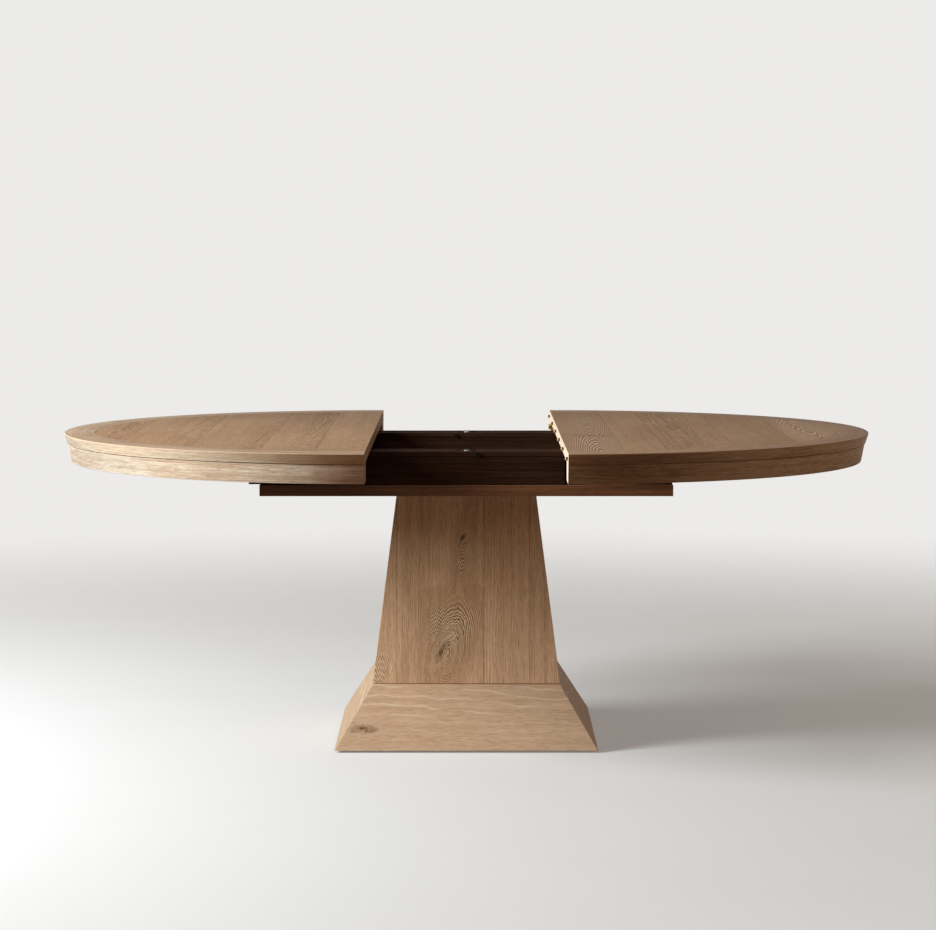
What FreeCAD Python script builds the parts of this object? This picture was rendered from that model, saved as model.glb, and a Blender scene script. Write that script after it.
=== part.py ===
import FreeCAD, Part
import math
import os

os.makedirs("parts", exist_ok=True)

# Round extending dining table on one pedestal, drawn open with no leaf in the gap.
# Origin on the floor below the middle of the pedestal. X runs along the slides, Y from front to back, Z is up.
# Lengths are in millimetres and angles in degrees.

# Top
table_height = 746.0  # floor to the upper face of the top
top_radius = 756.0  # radius of the round top when it is closed
leaf_gap = 450.0  # space between the halves when fully open
closed_gap = 0.6  # space left between the halves when pushed together
top_thickness = 25.5
border_width = 76.0  # band round the veneered field
arris = 1.5  # chamfer on the upper edge
edge_taper = 17.0  # undercut of the edge of the top, measured from upright
reveal_height = 1.6  # shadow groove between the top and the apron
reveal_depth = 2.5
apron_height = 43.2
apron_width = 108.0  # along its upper face
apron_setback = 1.2  # step in from the line of the edge
apron_taper = 11.5

# Alignment pins and their bushes in the split faces
pin_count = 6
pin_radius = 4.0
pin_proud = 6.5
pin_tip = 2.0  # length of the tapered end
pin_tip_radius = 2.2
pin_shank_radius = 5.0  # glued into the top
pin_depth = 20.0
pin_drop = 14.0  # below the upper face
pin_edge_margin = 42.0  # outermost pin to the edge of the top
pin_clearance = 0.3
bush_wall = 2.0
bush_depth = 22.0

# Plinth and column
floor_gap = 5.0  # daylight under the plinth
plinth_height = 145.0
plinth_foot_width = 626.0
waist_width = 450.0  # where the column stands on the plinth
column_head_width = 332.0
plinth_wall = 24.0  # thickness of the panels in plan
column_wall = 20.0
board_thickness = 22.0  # inner boards
plinth_block_leg = 45.0  # corner blocks
column_block_leg = 40.0

# Bolts that tie the pedestal together
bolt_radius = 5.0
bolt_clearance = 0.2
bolt_head_across = 17.0
bolt_head_height = 6.4
bolt_tip = 3.0  # past the nut
nut_height = 8.0
foot_bolt_margin = 55.0  # from the inner face of the column
head_bolt_margin = 46.0

# Platform and slides
platform_length = 968.0
platform_depth = 710.0
platform_thickness = 26.0
slide_setback = 2.0  # outer slide behind the edge of the platform
slide_height = 77.5
slide_thickness = 30.0
slide_gap = 1.0  # between a slide and the fixed rail
slide_lift = 2.0  # moving slide above the platform, fixed rail below the top
slide_relief = 1.5  # top of the free end below the underside of the top
slide_overrun = 25.0  # outer end past the platform when open
slide_reach = 455.0  # inner end past the split of its own half
tongue_height = 12.0
tongue_depth = 8.0  # inside the groove of the fixed rail
tongue_rise = 15.0  # above the underside of the slide
tongue_clearance = 0.4
face_groove = 2.0  # scored line along the face of a slide
face_groove_drop = 12.0
peg_radius = 4.0
peg_inset = 8.0  # from the end of the fixed rail
stop_clearance = 0.3

# Rack and pinion that keep the halves together
gear_module = 2.0
gear_teeth = 18
gear_face = 12.0
gear_drop = 2.5  # below the underside of the top
gear_pocket_gap = 2.0  # round the pinion in the fixed rail
pressure_angle = 20.0
gear_backlash = 0.3
addendum_relief = 0.2  # trimmed from the rack teeth
root_clearance = 0.4
rack_back = 4.0  # behind the tooth roots
rack_spare = 28.0  # past the meshing point at both ends of travel
rack_bolt_radius = 2.5
rack_bolt_margin = 5.0  # from the ends of a rack
rack_bolt_head_radius = 5.0
rack_bolt_head_height = 3.0
axle_radius = 4.0
axle_clearance = 0.3
axle_depth = 28.0  # in the fixed rail, below the pinion
axle_cap_radius = 6.0
axle_cap_height = 1.4
collar_radius = 7.0
collar_height = 0.8
end_play = 0.2

# Screws through the slides and the platform
screw_radius = 2.5
screw_head_radius = 5.0
screw_head_height = 4.0
screw_hole_clearance = 0.1
counterbore_clearance = 1.0
slide_screw_count = 3
slide_screw_margin = 45.0
slide_screw_grip = 25.0
slide_screw_bite = 18.0
rail_screw_count = 4
rail_screw_margin = 60.0
rail_screw_bite = 14.0

# Locks under the split
lock_setback = 28.0  # rivet behind the split of the right half
lock_apron_gap = 50.0  # rivet to the inner face of the apron
lock_plate_length = 44.0
lock_plate_width = 30.0
lock_plate_thickness = 2.0
lock_screw_radius = 2.0
lock_screw_head_radius = 3.4
lock_screw_head_height = 1.0
lock_screw_bite = 14.0
lock_screw_spread = 32.0
rivet_radius = 4.0
rivet_clearance = 0.3
rivet_head_radius = 6.5
rivet_head_height = 2.5
lever_thickness = 4.0
lever_play = 0.5
lever_width = 20.0
lever_hub_radius = 11.0
lever_tip = 9.0  # past the middle of the notch
tab_length = 46.0
tab_width = 12.0
tab_thickness = 3.0
tab_height = 15.0
lock_swing = 137.6  # from fully stowed to locked
front_lock_tuck = 20.0  # the front lever rests this much short of fully stowed, out of sight
back_lock_tuck = 7.0  # the same for the back lever, whose tab stays in sight
keeper_setback = 22.0  # keeper pin behind the split of the left half
keeper_radius = 3.0
keeper_clearance = 0.4
keeper_drop = 6.5  # below its plate

# Levellers
leveller_margin = 54.0  # from the inner face of the plinth
leveller_radius = 5.0
leveller_rise = 42.0
leveller_clearance = 0.3
pad_radius = 20.0
pad_gap = 0.5  # below the base board
pad_bevel = 1.0
insert_wall = 3.0
insert_flange_radius = 13.0
insert_flange_height = 2.0

seat_clearance = 0.05  # between a fixed pin, sleeve or nut and what it fits

# Levels
top_under = table_height - top_thickness
slide_under = top_under - slide_height
platform_top = slide_under - slide_lift
platform_under = platform_top - platform_thickness
rail_top = top_under - slide_lift
waist_level = floor_gap + plinth_height
gear_top = top_under - gear_drop
gear_under = gear_top - gear_face
tongue_under = slide_under + tongue_rise
pin_level = table_height - pin_drop

# Places along X and Y
split = leaf_gap / 2
closing_travel = (leaf_gap - closed_gap) / 2
platform_end = platform_length / 2
slide_end = platform_end + slide_overrun
slide_inner_end = slide_reach - split
field_radius = top_radius - border_width
apron_top_radius = top_radius - top_thickness * math.tan(math.radians(edge_taper)) - apron_setback
apron_inner_radius = apron_top_radius - apron_width
pitch_radius = gear_module * gear_teeth / 2
gear_pitch = math.pi * gear_module
gear_addendum = gear_module
gear_dedendum = gear_module + root_clearance
rail_thickness = 2 * (pitch_radius - gear_addendum - slide_gap)
outer_face = slide_setback - platform_depth / 2
outer_slide_inner_face = outer_face + slide_thickness
rail_front = outer_slide_inner_face + slide_gap
gear_line = rail_front + rail_thickness / 2
peg_place = platform_end - peg_inset
tongue_end = peg_place - peg_radius - stop_clearance
lock_line = apron_inner_radius - lock_apron_gap
hook_radius = lock_setback + closed_gap + keeper_setback
lever_top = top_under - lock_plate_thickness - lever_play
lever_under = lever_top - lever_thickness

UP = FreeCAD.Vector(0, 0, 1)
CENTRE = FreeCAD.Vector(0, 0, 0)


# Small helpers

def block(x0, x1, y0, y1, z0, z1):
    return Part.makeBox(x1 - x0, y1 - y0, z1 - z0, FreeCAD.Vector(x0, y0, z0))


def rod(radius, x, y, z0, z1):
    return Part.makeCylinder(radius, z1 - z0, FreeCAD.Vector(x, y, z0), UP)


def rod_along_x(radius, x0, x1, y, z):
    return Part.makeCylinder(radius, x1 - x0, FreeCAD.Vector(x0, y, z), FreeCAD.Vector(1, 0, 0))


def rod_along_y(radius, x, y0, y1, z):
    return Part.makeCylinder(radius, y1 - y0, FreeCAD.Vector(x, y0, z), FreeCAD.Vector(0, 1, 0))


def hexagon(across, x, y, z0, z1):
    radius = across / math.sqrt(3)
    corners = []
    for turn in range(7):
        angle = math.radians(60 * turn)
        corners.append(FreeCAD.Vector(x + radius * math.cos(angle), y + radius * math.sin(angle), z0))
    return Part.Face(Part.makePolygon(corners)).extrude(UP * (z1 - z0))


def between(lower, upper, z0, z1):
    # Solid with flat sides between two outlines that have matching corners.
    low = [FreeCAD.Vector(x, y, z0) for x, y in lower]
    high = [FreeCAD.Vector(x, y, z1) for x, y in upper]
    faces = [Part.Face(Part.makePolygon(low + low[:1])), Part.Face(Part.makePolygon(high + high[:1]))]
    for place in range(len(low)):
        after = (place + 1) % len(low)
        corners = [low[place], low[after], high[after], high[place], low[place]]
        faces.append(Part.Face(Part.makePolygon(corners)))
    return Part.makeSolid(Part.makeShell(faces))


def turned(shape, degrees, x=0.0, y=0.0):
    copy = shape.copy()
    copy.rotate(FreeCAD.Vector(x, y, 0), UP, degrees)
    return copy


def to_back(shape):
    # The back of the table mirrors the front.
    return shape.mirror(CENTRE, FreeCAD.Vector(0, 1, 0))


def to_right(shape):
    # The right half is the left half turned half way round.
    return turned(shape, 180)


def across_rail(shape):
    # The inner slide of a pair is the outer one turned about the pinion's axle.
    return turned(shape, 180, 0, gear_line)


def group(shapes):
    solids = []
    for shape in shapes:
        solids.extend(shape.Solids)
    return Part.makeCompound(solids)


def spread(first, last, count):
    return [first + (last - first) * place / (count - 1) for place in range(count)]


def four_corners(reach):
    return [(x, y) for x in (-reach, reach) for y in (-reach, reach)]


# Plinth and column

def plinth_half(z):
    share = (z - floor_gap) / plinth_height
    return plinth_foot_width / 2 + (waist_width - plinth_foot_width) / 2 * share


def column_half(z):
    share = (z - waist_level) / (platform_under - waist_level)
    return waist_width / 2 + (column_head_width - waist_width) / 2 * share


def sloped_panel(half, wall, z0, z1):
    # Front panel of a square shell, mitred at both sides.
    outlines = []
    for z in (z0, z1):
        outer = half(z)
        inner = outer - wall
        outlines.append([(-outer, -outer), (outer, -outer), (inner, -inner), (-inner, -inner)])
    return between(outlines[0], outlines[1], z0, z1)


def inner_board(half, wall, z0, z1):
    outlines = []
    for z in (z0, z1):
        inner = half(z) - wall
        outlines.append([(-inner, -inner), (inner, -inner), (inner, inner), (-inner, inner)])
    return between(outlines[0], outlines[1], z0, z1)


def corner_blocks(half, wall, leg, z0, z1):
    outlines = []
    for z in (z0, z1):
        inner = half(z) - wall
        outlines.append([(-inner, -inner), (leg - inner, -inner), (-inner, leg - inner)])
    corner = between(outlines[0], outlines[1], z0, z1)
    return group([turned(corner, 90 * quarter) for quarter in range(4)])


def bolts(reach, z0, z1):
    # Bolts through boards whose outer faces are at z0 and z1, with the heads on top.
    shapes = []
    for x, y in four_corners(reach):
        shank = rod(bolt_radius, x, y, z0 - nut_height - bolt_tip, z1)
        shapes.append(shank.fuse(hexagon(bolt_head_across, x, y, z1, z1 + bolt_head_height)).removeSplitter())
    return shapes


def nuts(reach, z0):
    shapes = []
    for x, y in four_corners(reach):
        bore = rod(bolt_radius + seat_clearance, x, y, z0 - nut_height, z0)
        shapes.append(hexagon(bolt_head_across, x, y, z0 - nut_height, z0).cut(bore))
    return shapes


def bolt_holes(reach, z0, z1):
    return group([rod(bolt_radius + bolt_clearance, x, y, z0, z1) for x, y in four_corners(reach)])


def pedestal():
    base_top = floor_gap + board_thickness
    deck_under = waist_level - board_thickness
    foot_top = waist_level + board_thickness
    head_under = platform_under - board_thickness
    foot_bolt_reach = column_half(foot_top) - column_wall - foot_bolt_margin
    head_bolt_reach = column_half(platform_under) - column_wall - head_bolt_margin
    leveller_reach = plinth_half(base_top) - plinth_wall - leveller_margin
    sides = ["front", "right", "back", "left"]
    plinth_panel = sloped_panel(plinth_half, plinth_wall, floor_gap, waist_level)
    column_panel = sloped_panel(column_half, column_wall, waist_level, platform_under)
    pieces = {}
    for quarter, side in enumerate(sides):
        pieces["plinth_" + side + "_panel"] = turned(plinth_panel, 90 * quarter)
        pieces["column_" + side + "_panel"] = turned(column_panel, 90 * quarter)

    sleeve = leveller_radius + leveller_clearance + insert_wall
    base = inner_board(plinth_half, plinth_wall, floor_gap, base_top)
    for x, y in four_corners(leveller_reach):
        base = base.cut(rod(sleeve + seat_clearance, x, y, floor_gap, base_top))
    foot_holes = bolt_holes(foot_bolt_reach, deck_under, foot_top)
    head_holes = bolt_holes(head_bolt_reach, head_under, platform_top)
    pieces["plinth_base_board"] = base
    pieces["plinth_deck_board"] = inner_board(plinth_half, plinth_wall, deck_under, waist_level).cut(foot_holes)
    pieces["plinth_corner_blocks"] = corner_blocks(plinth_half, plinth_wall, plinth_block_leg, base_top, deck_under)
    pieces["column_foot_board"] = inner_board(column_half, column_wall, waist_level, foot_top).cut(foot_holes)
    pieces["column_head_board"] = inner_board(column_half, column_wall, head_under, platform_under).cut(head_holes)
    pieces["column_corner_blocks"] = corner_blocks(column_half, column_wall, column_block_leg, foot_top, head_under)
    pieces["column_bolts"] = group(bolts(foot_bolt_reach, deck_under, foot_top))
    pieces["platform_bolts"] = group(bolts(head_bolt_reach, head_under, platform_top))
    pieces["pedestal_nuts"] = group(nuts(foot_bolt_reach, deck_under) + nuts(head_bolt_reach, head_under))
    pieces["platform_board"] = platform().cut(head_holes)

    inserts = []
    for x, y in four_corners(leveller_reach):
        flange = rod(insert_flange_radius, x, y, base_top, base_top + insert_flange_height)
        tube = rod(sleeve, x, y, floor_gap, base_top).fuse(flange).removeSplitter()
        bore = rod(sleeve - insert_wall, x, y, floor_gap, base_top + insert_flange_height)
        inserts.append(tube.cut(bore))
    pieces["leveller_inserts"] = group(inserts)
    for side, x in (("left", -leveller_reach), ("right", leveller_reach)):
        for row, y in (("front", -leveller_reach), ("back", leveller_reach)):
            pieces[row + "_" + side + "_leveller"] = leveller(x, y)
    return pieces


def leveller(x, y):
    pad_top = floor_gap - pad_gap
    rim_top = pad_top - pad_bevel
    pad = rod(pad_radius, x, y, 0, rim_top)
    shoulder = Part.makeCone(pad_radius, pad_radius - pad_bevel, pad_bevel, FreeCAD.Vector(x, y, rim_top), UP)
    stem = rod(leveller_radius, x, y, pad_top, leveller_rise)
    return pad.fuse([shoulder, stem]).removeSplitter()


# Platform and fixed rails

def rail_screw_places():
    return spread(rail_screw_margin - platform_end, platform_end - rail_screw_margin, rail_screw_count)


def platform():
    board = block(-platform_end, platform_end, -platform_depth / 2, platform_depth / 2, platform_under, platform_top)
    for x in rail_screw_places():
        for y in (gear_line, -gear_line):
            head_radius = screw_head_radius + screw_hole_clearance
            board = board.cut(rod(screw_radius + screw_hole_clearance, x, y, platform_under, platform_top))
            board = board.cut(rod(head_radius, x, y, platform_under, platform_under + screw_head_height))
    return board


def rail_screws():
    shapes = []
    for x in rail_screw_places():
        head = rod(screw_head_radius, x, gear_line, platform_under, platform_under + screw_head_height)
        shank = rod(screw_radius, x, gear_line, platform_under, platform_top + rail_screw_bite)
        shapes.append(head.fuse(shank).removeSplitter())
    return group(shapes + [to_back(shape) for shape in shapes])


def fixed_rail():
    # Front rail: a grooved bar with a notch for the pinion in the middle of its upper edge.
    rail_back = rail_front + rail_thickness
    bar = block(-platform_end, platform_end, rail_front, rail_back, platform_top, rail_top)
    groove_depth = tongue_depth + tongue_clearance
    groove_under = tongue_under - tongue_clearance
    groove_top = tongue_under + tongue_height + tongue_clearance
    groove = block(-platform_end, platform_end, rail_front, rail_front + groove_depth, groove_under, groove_top)
    pocket = pitch_radius + gear_addendum + gear_pocket_gap
    pocket_floor = gear_under - end_play - collar_height
    notch = block(-pocket, pocket, rail_front, rail_back, pocket_floor, rail_top)
    axle_hole = rod(axle_radius + seat_clearance, 0, gear_line, pocket_floor - axle_depth, pocket_floor)
    cuts = [groove, across_rail(groove), notch, axle_hole]
    for x in rail_screw_places():
        hole_radius = screw_radius + screw_hole_clearance
        cuts.append(rod(hole_radius, x, gear_line, platform_top, platform_top + rail_screw_bite))
    for hole in (peg(peg_radius + seat_clearance), across_rail(peg(peg_radius + seat_clearance))):
        cuts.append(hole)
    return bar.cut(cuts)


def peg(radius):
    # Upright stop in the outer groove, near the left end of the rail.
    return rod(radius, -peg_place, rail_front + tongue_depth / 2, platform_top, rail_top)


def stop_pegs():
    front = [peg(peg_radius), across_rail(peg(peg_radius))]
    return group(front + [to_back(shape) for shape in front])


def axle():
    pocket_floor = gear_under - end_play - collar_height
    cap_under = gear_top + end_play
    stem = rod(axle_radius, 0, gear_line, pocket_floor - axle_depth, cap_under)
    collar = rod(collar_radius, 0, gear_line, pocket_floor, pocket_floor + collar_height)
    cap = rod(axle_cap_radius, 0, gear_line, cap_under, cap_under + axle_cap_height)
    return stem.fuse([collar, cap]).removeSplitter()


# Pinion and racks

def pinion():
    # Involute pinion with one tooth pointing straight at each rack.
    base_radius = pitch_radius * math.cos(math.radians(pressure_angle))
    root_radius = pitch_radius - gear_dedendum
    tip_radius = pitch_radius + gear_addendum
    tooth_half = math.pi / (2 * gear_teeth) - gear_backlash / (2 * pitch_radius)
    base_half = tooth_half + involute(math.radians(pressure_angle))
    flank_radii = spread(base_radius, tip_radius, 6)

    def place(radius, angle):
        return FreeCAD.Vector(radius * math.cos(angle), gear_line + radius * math.sin(angle), gear_under)

    def half_angle(radius):
        return base_half - involute(math.acos(min(1.0, base_radius / radius)))

    edges = []
    step = 2 * math.pi / gear_teeth
    for tooth in range(gear_teeth):
        middle = tooth * step - math.pi / 2
        rising = [place(radius, middle - half_angle(radius)) for radius in flank_radii]
        falling = [place(radius, middle + half_angle(radius)) for radius in reversed(flank_radii)]
        root_start = place(root_radius, middle - base_half)
        root_end = place(root_radius, middle + base_half)
        root_middle = place(root_radius, middle + step / 2)
        next_root = place(root_radius, middle + step - base_half)
        edges.append(Part.LineSegment(root_start, rising[0]).toShape())
        edges.append(curve_through(rising))
        edges.append(Part.Arc(rising[-1], place(tip_radius, middle), falling[0]).toShape())
        edges.append(curve_through(falling))
        edges.append(Part.LineSegment(falling[-1], root_end).toShape())
        edges.append(Part.Arc(root_end, root_middle, next_root).toShape())
    disc = Part.Face(Part.Wire(edges)).extrude(UP * gear_face)
    return disc.cut(rod(axle_radius + axle_clearance, 0, gear_line, gear_under, gear_top))


def involute(angle):
    return math.tan(angle) - angle


def curve_through(points):
    curve = Part.BSplineCurve()
    curve.interpolate(points)
    return curve.toShape()


def rack_ends():
    # Whole pitches each way from the meshing point, so that a gap lies at X = 0.
    outward = math.ceil((closing_travel + rack_spare) / gear_pitch)
    inward = math.ceil(rack_spare / gear_pitch)
    return -outward, inward


def rack_line():
    return gear_line - pitch_radius


def rack_back_face():
    return rack_line() - gear_dedendum - rack_back


def rack():
    # Rack of the left half in the front pair, with its teeth towards the fixed rail.
    first, last = rack_ends()
    lean = math.tan(math.radians(pressure_angle))
    height = gear_addendum - addendum_relief
    tooth_half = gear_pitch / 4 - gear_backlash / 2
    root_half = tooth_half + gear_dedendum * lean
    tip_half = tooth_half - height * lean
    root = rack_line() - gear_dedendum
    tip = rack_line() + height
    outline = [(first * gear_pitch, rack_back_face()), (first * gear_pitch, root)]
    for tooth in range(first, last):
        middle = (tooth + 0.5) * gear_pitch
        outline.append((middle - root_half, root))
        outline.append((middle - tip_half, tip))
        outline.append((middle + tip_half, tip))
        outline.append((middle + root_half, root))
    outline.append((last * gear_pitch, root))
    outline.append((last * gear_pitch, rack_back_face()))
    corners = [FreeCAD.Vector(x, y, gear_under) for x, y in outline]
    bar = Part.Face(Part.makePolygon(corners + corners[:1])).extrude(UP * gear_face)
    return bar.cut(rack_bolt_holes(rack_bolt_radius + seat_clearance))


def rack_bolt_places():
    first, last = rack_ends()
    return [first * gear_pitch + rack_bolt_margin, last * gear_pitch - rack_bolt_margin]


def rack_bolt_holes(radius):
    level = (gear_top + gear_under) / 2
    root = rack_line() - gear_dedendum
    return group([rod_along_y(radius, x, outer_face, root, level) for x in rack_bolt_places()])


def rack_bolts():
    # Heads stand on the face of the slide, tips end at the tooth roots.
    level = (gear_top + gear_under) / 2
    root = rack_line() - gear_dedendum
    shapes = []
    for x in rack_bolt_places():
        head = rod_along_y(rack_bolt_head_radius, x, outer_face - rack_bolt_head_height, outer_face, level)
        shank = rod_along_y(rack_bolt_radius, x, outer_face, root, level)
        shapes.append(head.fuse(shank).removeSplitter())
    return shapes


# Moving slides

def slide_screw_places():
    return spread(slide_screw_margin - slide_end, -split - slide_screw_margin, slide_screw_count)


def slide_line():
    return outer_face + slide_thickness / 2


def slide():
    # Outer slide of the front pair, carried by the left half.
    bar = block(-slide_end, slide_inner_end, outer_face, outer_slide_inner_face, slide_under, top_under)
    tongue_face = rail_front + tongue_depth
    tongue_top = tongue_under + tongue_height
    tongue = block(-tongue_end, slide_inner_end, outer_slide_inner_face, tongue_face, tongue_under, tongue_top)
    first, last = rack_ends()
    seat_ends = (first * gear_pitch, last * gear_pitch)
    relief = block(-split, slide_inner_end, outer_face, outer_slide_inner_face, top_under - slide_relief, top_under)
    seat = block(*seat_ends, rack_back_face(), outer_slide_inner_face, gear_under, top_under)
    line_top = top_under - face_groove_drop
    line = block(-slide_end, slide_inner_end, outer_face, outer_face + face_groove, line_top - face_groove, line_top)
    cuts = [relief, seat, line, rack_bolt_holes(rack_bolt_radius + seat_clearance)]
    head_level = top_under - slide_screw_grip
    for x in slide_screw_places():
        bore = screw_head_radius + counterbore_clearance
        cuts.append(rod(bore, x, slide_line(), slide_under, head_level))
        cuts.append(rod(screw_radius + screw_hole_clearance, x, slide_line(), head_level, top_under))
    return bar.fuse(tongue).removeSplitter().cut(cuts)


def slide_screws():
    head_level = top_under - slide_screw_grip
    shapes = []
    for x in slide_screw_places():
        head = rod(screw_head_radius, x, slide_line(), head_level - screw_head_height, head_level)
        shank = rod(screw_radius, x, slide_line(), head_level, top_under + slide_screw_bite)
        shapes.append(head.fuse(shank).removeSplitter())
    return shapes


def slide_pilot_holes():
    radius = screw_radius + screw_hole_clearance
    top = top_under + slide_screw_bite
    return [rod(radius, x, slide_line(), top_under, top) for x in slide_screw_places()]


# Halves of the top, built as the left half

def edge_radius(drop):
    # Radius of the tapered edge at a distance below the upper face.
    return top_radius - drop * math.tan(math.radians(edge_taper))


def ring_quarter(section, start):
    # A quarter ring about the middle of the left half, from a start angle.
    corners = [FreeCAD.Vector(radius, 0, z) for radius, z in section]
    face = Part.Face(Part.makePolygon(corners + corners[:1]))
    face.rotate(CENTRE, UP, start)
    quarter = face.revolve(CENTRE, UP, 90)
    quarter.translate(FreeCAD.Vector(-split, 0, 0))
    return quarter


def border_section():
    reveal_top = top_under + reveal_height
    reveal_radius = edge_radius(top_thickness - reveal_height)
    return [
        (field_radius, top_under),
        (reveal_radius - reveal_depth, top_under),
        (reveal_radius - reveal_depth, reveal_top),
        (reveal_radius, reveal_top),
        (edge_radius(arris), table_height - arris),
        (top_radius - arris, table_height),
        (field_radius, table_height),
    ]


def apron_section():
    apron_under = top_under - apron_height
    under_radius = apron_top_radius - apron_height * math.tan(math.radians(apron_taper))
    return [
        (apron_inner_radius, apron_under),
        (under_radius, apron_under),
        (apron_top_radius, top_under),
        (apron_inner_radius, top_under),
    ]


def field():
    half = Part.makeCylinder(field_radius, top_thickness, FreeCAD.Vector(0, 0, top_under), UP, 180)
    half.rotate(CENTRE, UP, 90)
    half.translate(FreeCAD.Vector(-split, 0, 0))
    return half


def pin_places():
    outermost = top_radius - pin_edge_margin
    return spread(-outermost, outermost, pin_count)


def bush_radius():
    return pin_radius + pin_clearance + bush_wall


def bush_holes():
    radius = bush_radius() + seat_clearance
    return [rod_along_x(radius, -split - bush_depth, -split, y, pin_level) for y in pin_places()]


def bushes():
    shapes = []
    for y in pin_places():
        sleeve = rod_along_x(bush_radius(), -split - bush_depth, -split, y, pin_level)
        shapes.append(sleeve.cut(rod_along_x(pin_radius + pin_clearance, -split - bush_depth, -split, y, pin_level)))
    return group(shapes)


def pin_holes():
    radius = pin_shank_radius + seat_clearance
    return [rod_along_x(radius, split, split + pin_depth, y, pin_level) for y in pin_places()]


def pins():
    shapes = []
    for y in pin_places():
        shank = rod_along_x(pin_shank_radius, split, split + pin_depth, y, pin_level)
        taper = split - pin_proud + pin_tip
        neck = rod_along_x(pin_radius, taper, split, y, pin_level)
        seat = FreeCAD.Vector(taper, y, pin_level)
        tip = Part.makeCone(pin_radius, pin_tip_radius, pin_tip, seat, FreeCAD.Vector(-1, 0, 0))
        shapes.append(shank.fuse([neck, tip]).removeSplitter())
    return group(shapes)


def top_half(turn, cuts):
    # Panel, border bands and apron segments of one half, in the order front, back as seen on the left half.
    shapes = [field()]
    for section in (border_section(), apron_section()):
        shapes.append(ring_quarter(section, 180))
        shapes.append(ring_quarter(section, 90))
    return [turn(shape).cut(cuts) for shape in shapes]


def left_half():
    outer = slide_pilot_holes()
    holes = outer + [to_back(hole) for hole in outer] + bush_holes()
    holes += keeper_screw_holes() + [to_back(hole) for hole in keeper_screw_holes()]
    panel, front_border, back_border, front_apron, back_apron = top_half(lambda shape: shape, holes)
    front_slide = slide()
    keepers = [keeper(), to_back(keeper())]
    screws = keeper_screws() + [to_back(screw) for screw in keeper_screws()]
    return {
        "left_field_panel": panel,
        "left_front_border": front_border,
        "left_back_border": back_border,
        "left_front_apron": front_apron,
        "left_back_apron": back_apron,
        "left_front_slide": front_slide,
        "left_back_slide": to_back(front_slide),
        "left_racks": group([rack(), to_back(rack())]),
        "left_rack_bolts": group(rack_bolts() + [to_back(bolt) for bolt in rack_bolts()]),
        "left_slide_screws": group(slide_screws() + [to_back(screw) for screw in slide_screws()]),
        "left_pin_bushes": bushes(),
        "left_lock_keepers": group(keepers),
        "left_keeper_screws": group(screws),
    }


def right_half():
    inner = [across_rail(hole) for hole in slide_pilot_holes()]
    holes = inner + [to_back(hole) for hole in inner] + pin_holes()
    holes += lock_screw_holes() + [to_back(hole) for hole in lock_screw_holes()]
    panel, back_border, front_border, back_apron, front_apron = top_half(to_right, holes)
    front_slide = across_rail(slide())
    front_rack = across_rail(rack())
    front_bolts = [across_rail(bolt) for bolt in rack_bolts()]
    front_screws = [across_rail(screw) for screw in slide_screws()]
    screws = lock_screws() + [to_back(screw) for screw in lock_screws()]
    return {
        "right_field_panel": panel,
        "right_front_border": front_border,
        "right_back_border": back_border,
        "right_front_apron": front_apron,
        "right_back_apron": back_apron,
        "right_front_slide": front_slide,
        "right_back_slide": to_back(front_slide),
        "right_racks": group([front_rack, to_back(front_rack)]),
        "right_rack_bolts": group(front_bolts + [to_back(bolt) for bolt in front_bolts]),
        "right_slide_screws": group(front_screws + [to_back(screw) for screw in front_screws]),
        "right_pins": pins(),
        "right_lock_plates": group([lock_plate(), to_back(lock_plate())]),
        "right_lock_screws": group(screws),
    }


# Locks, built at the front

def flat_screws(places):
    shapes = []
    plate_under = top_under - lock_plate_thickness
    for x, y in places:
        head = rod(lock_screw_head_radius, x, y, plate_under, plate_under + lock_screw_head_height)
        shank = rod(lock_screw_radius, x, y, plate_under, top_under + lock_screw_bite)
        shapes.append(head.fuse(shank).removeSplitter())
    return shapes


def flat_screw_holes(places):
    plate_under = top_under - lock_plate_thickness
    head_top = plate_under + lock_screw_head_height
    holes = []
    for x, y in places:
        hole = rod(lock_screw_radius + screw_hole_clearance, x, y, plate_under, top_under + lock_screw_bite)
        recess = rod(lock_screw_head_radius + screw_hole_clearance, x, y, plate_under, head_top)
        holes.append(hole.fuse(recess))
    return holes


def screw_pair(x):
    return [(x - lock_screw_spread / 2, -lock_line), (x + lock_screw_spread / 2, -lock_line)]


def plate_at(x):
    plate_under = top_under - lock_plate_thickness
    length = lock_plate_length / 2
    width = lock_plate_width / 2
    return block(x - length, x + length, -lock_line - width, -lock_line + width, plate_under, top_under)


def lock_screws():
    return flat_screws(screw_pair(split + lock_setback))


def lock_screw_holes():
    return flat_screw_holes(screw_pair(split + lock_setback))


def keeper_screws():
    return flat_screws(screw_pair(-split - keeper_setback - keeper_shift()))


def keeper_screw_holes():
    return flat_screw_holes(screw_pair(-split - keeper_setback - keeper_shift()))


def keeper_shift():
    # The keeper's plate stays behind the split.
    return lock_plate_length / 2 - keeper_setback + closed_gap


def lock_plate():
    x = split + lock_setback
    head_top = lever_under - lever_play
    post = rod(rivet_radius, x, -lock_line, head_top, top_under)
    head = rod(rivet_head_radius, x, -lock_line, head_top - rivet_head_height, head_top)
    return plate_at(x).cut(lock_screw_holes()).fuse([post, head]).removeSplitter()


def keeper():
    x = -split - keeper_setback
    plate = plate_at(x - keeper_shift()).cut(keeper_screw_holes())
    pin_under = top_under - lock_plate_thickness - keeper_drop
    return plate.fuse(rod(keeper_radius, x, -lock_line, pin_under, top_under)).removeSplitter()


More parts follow.
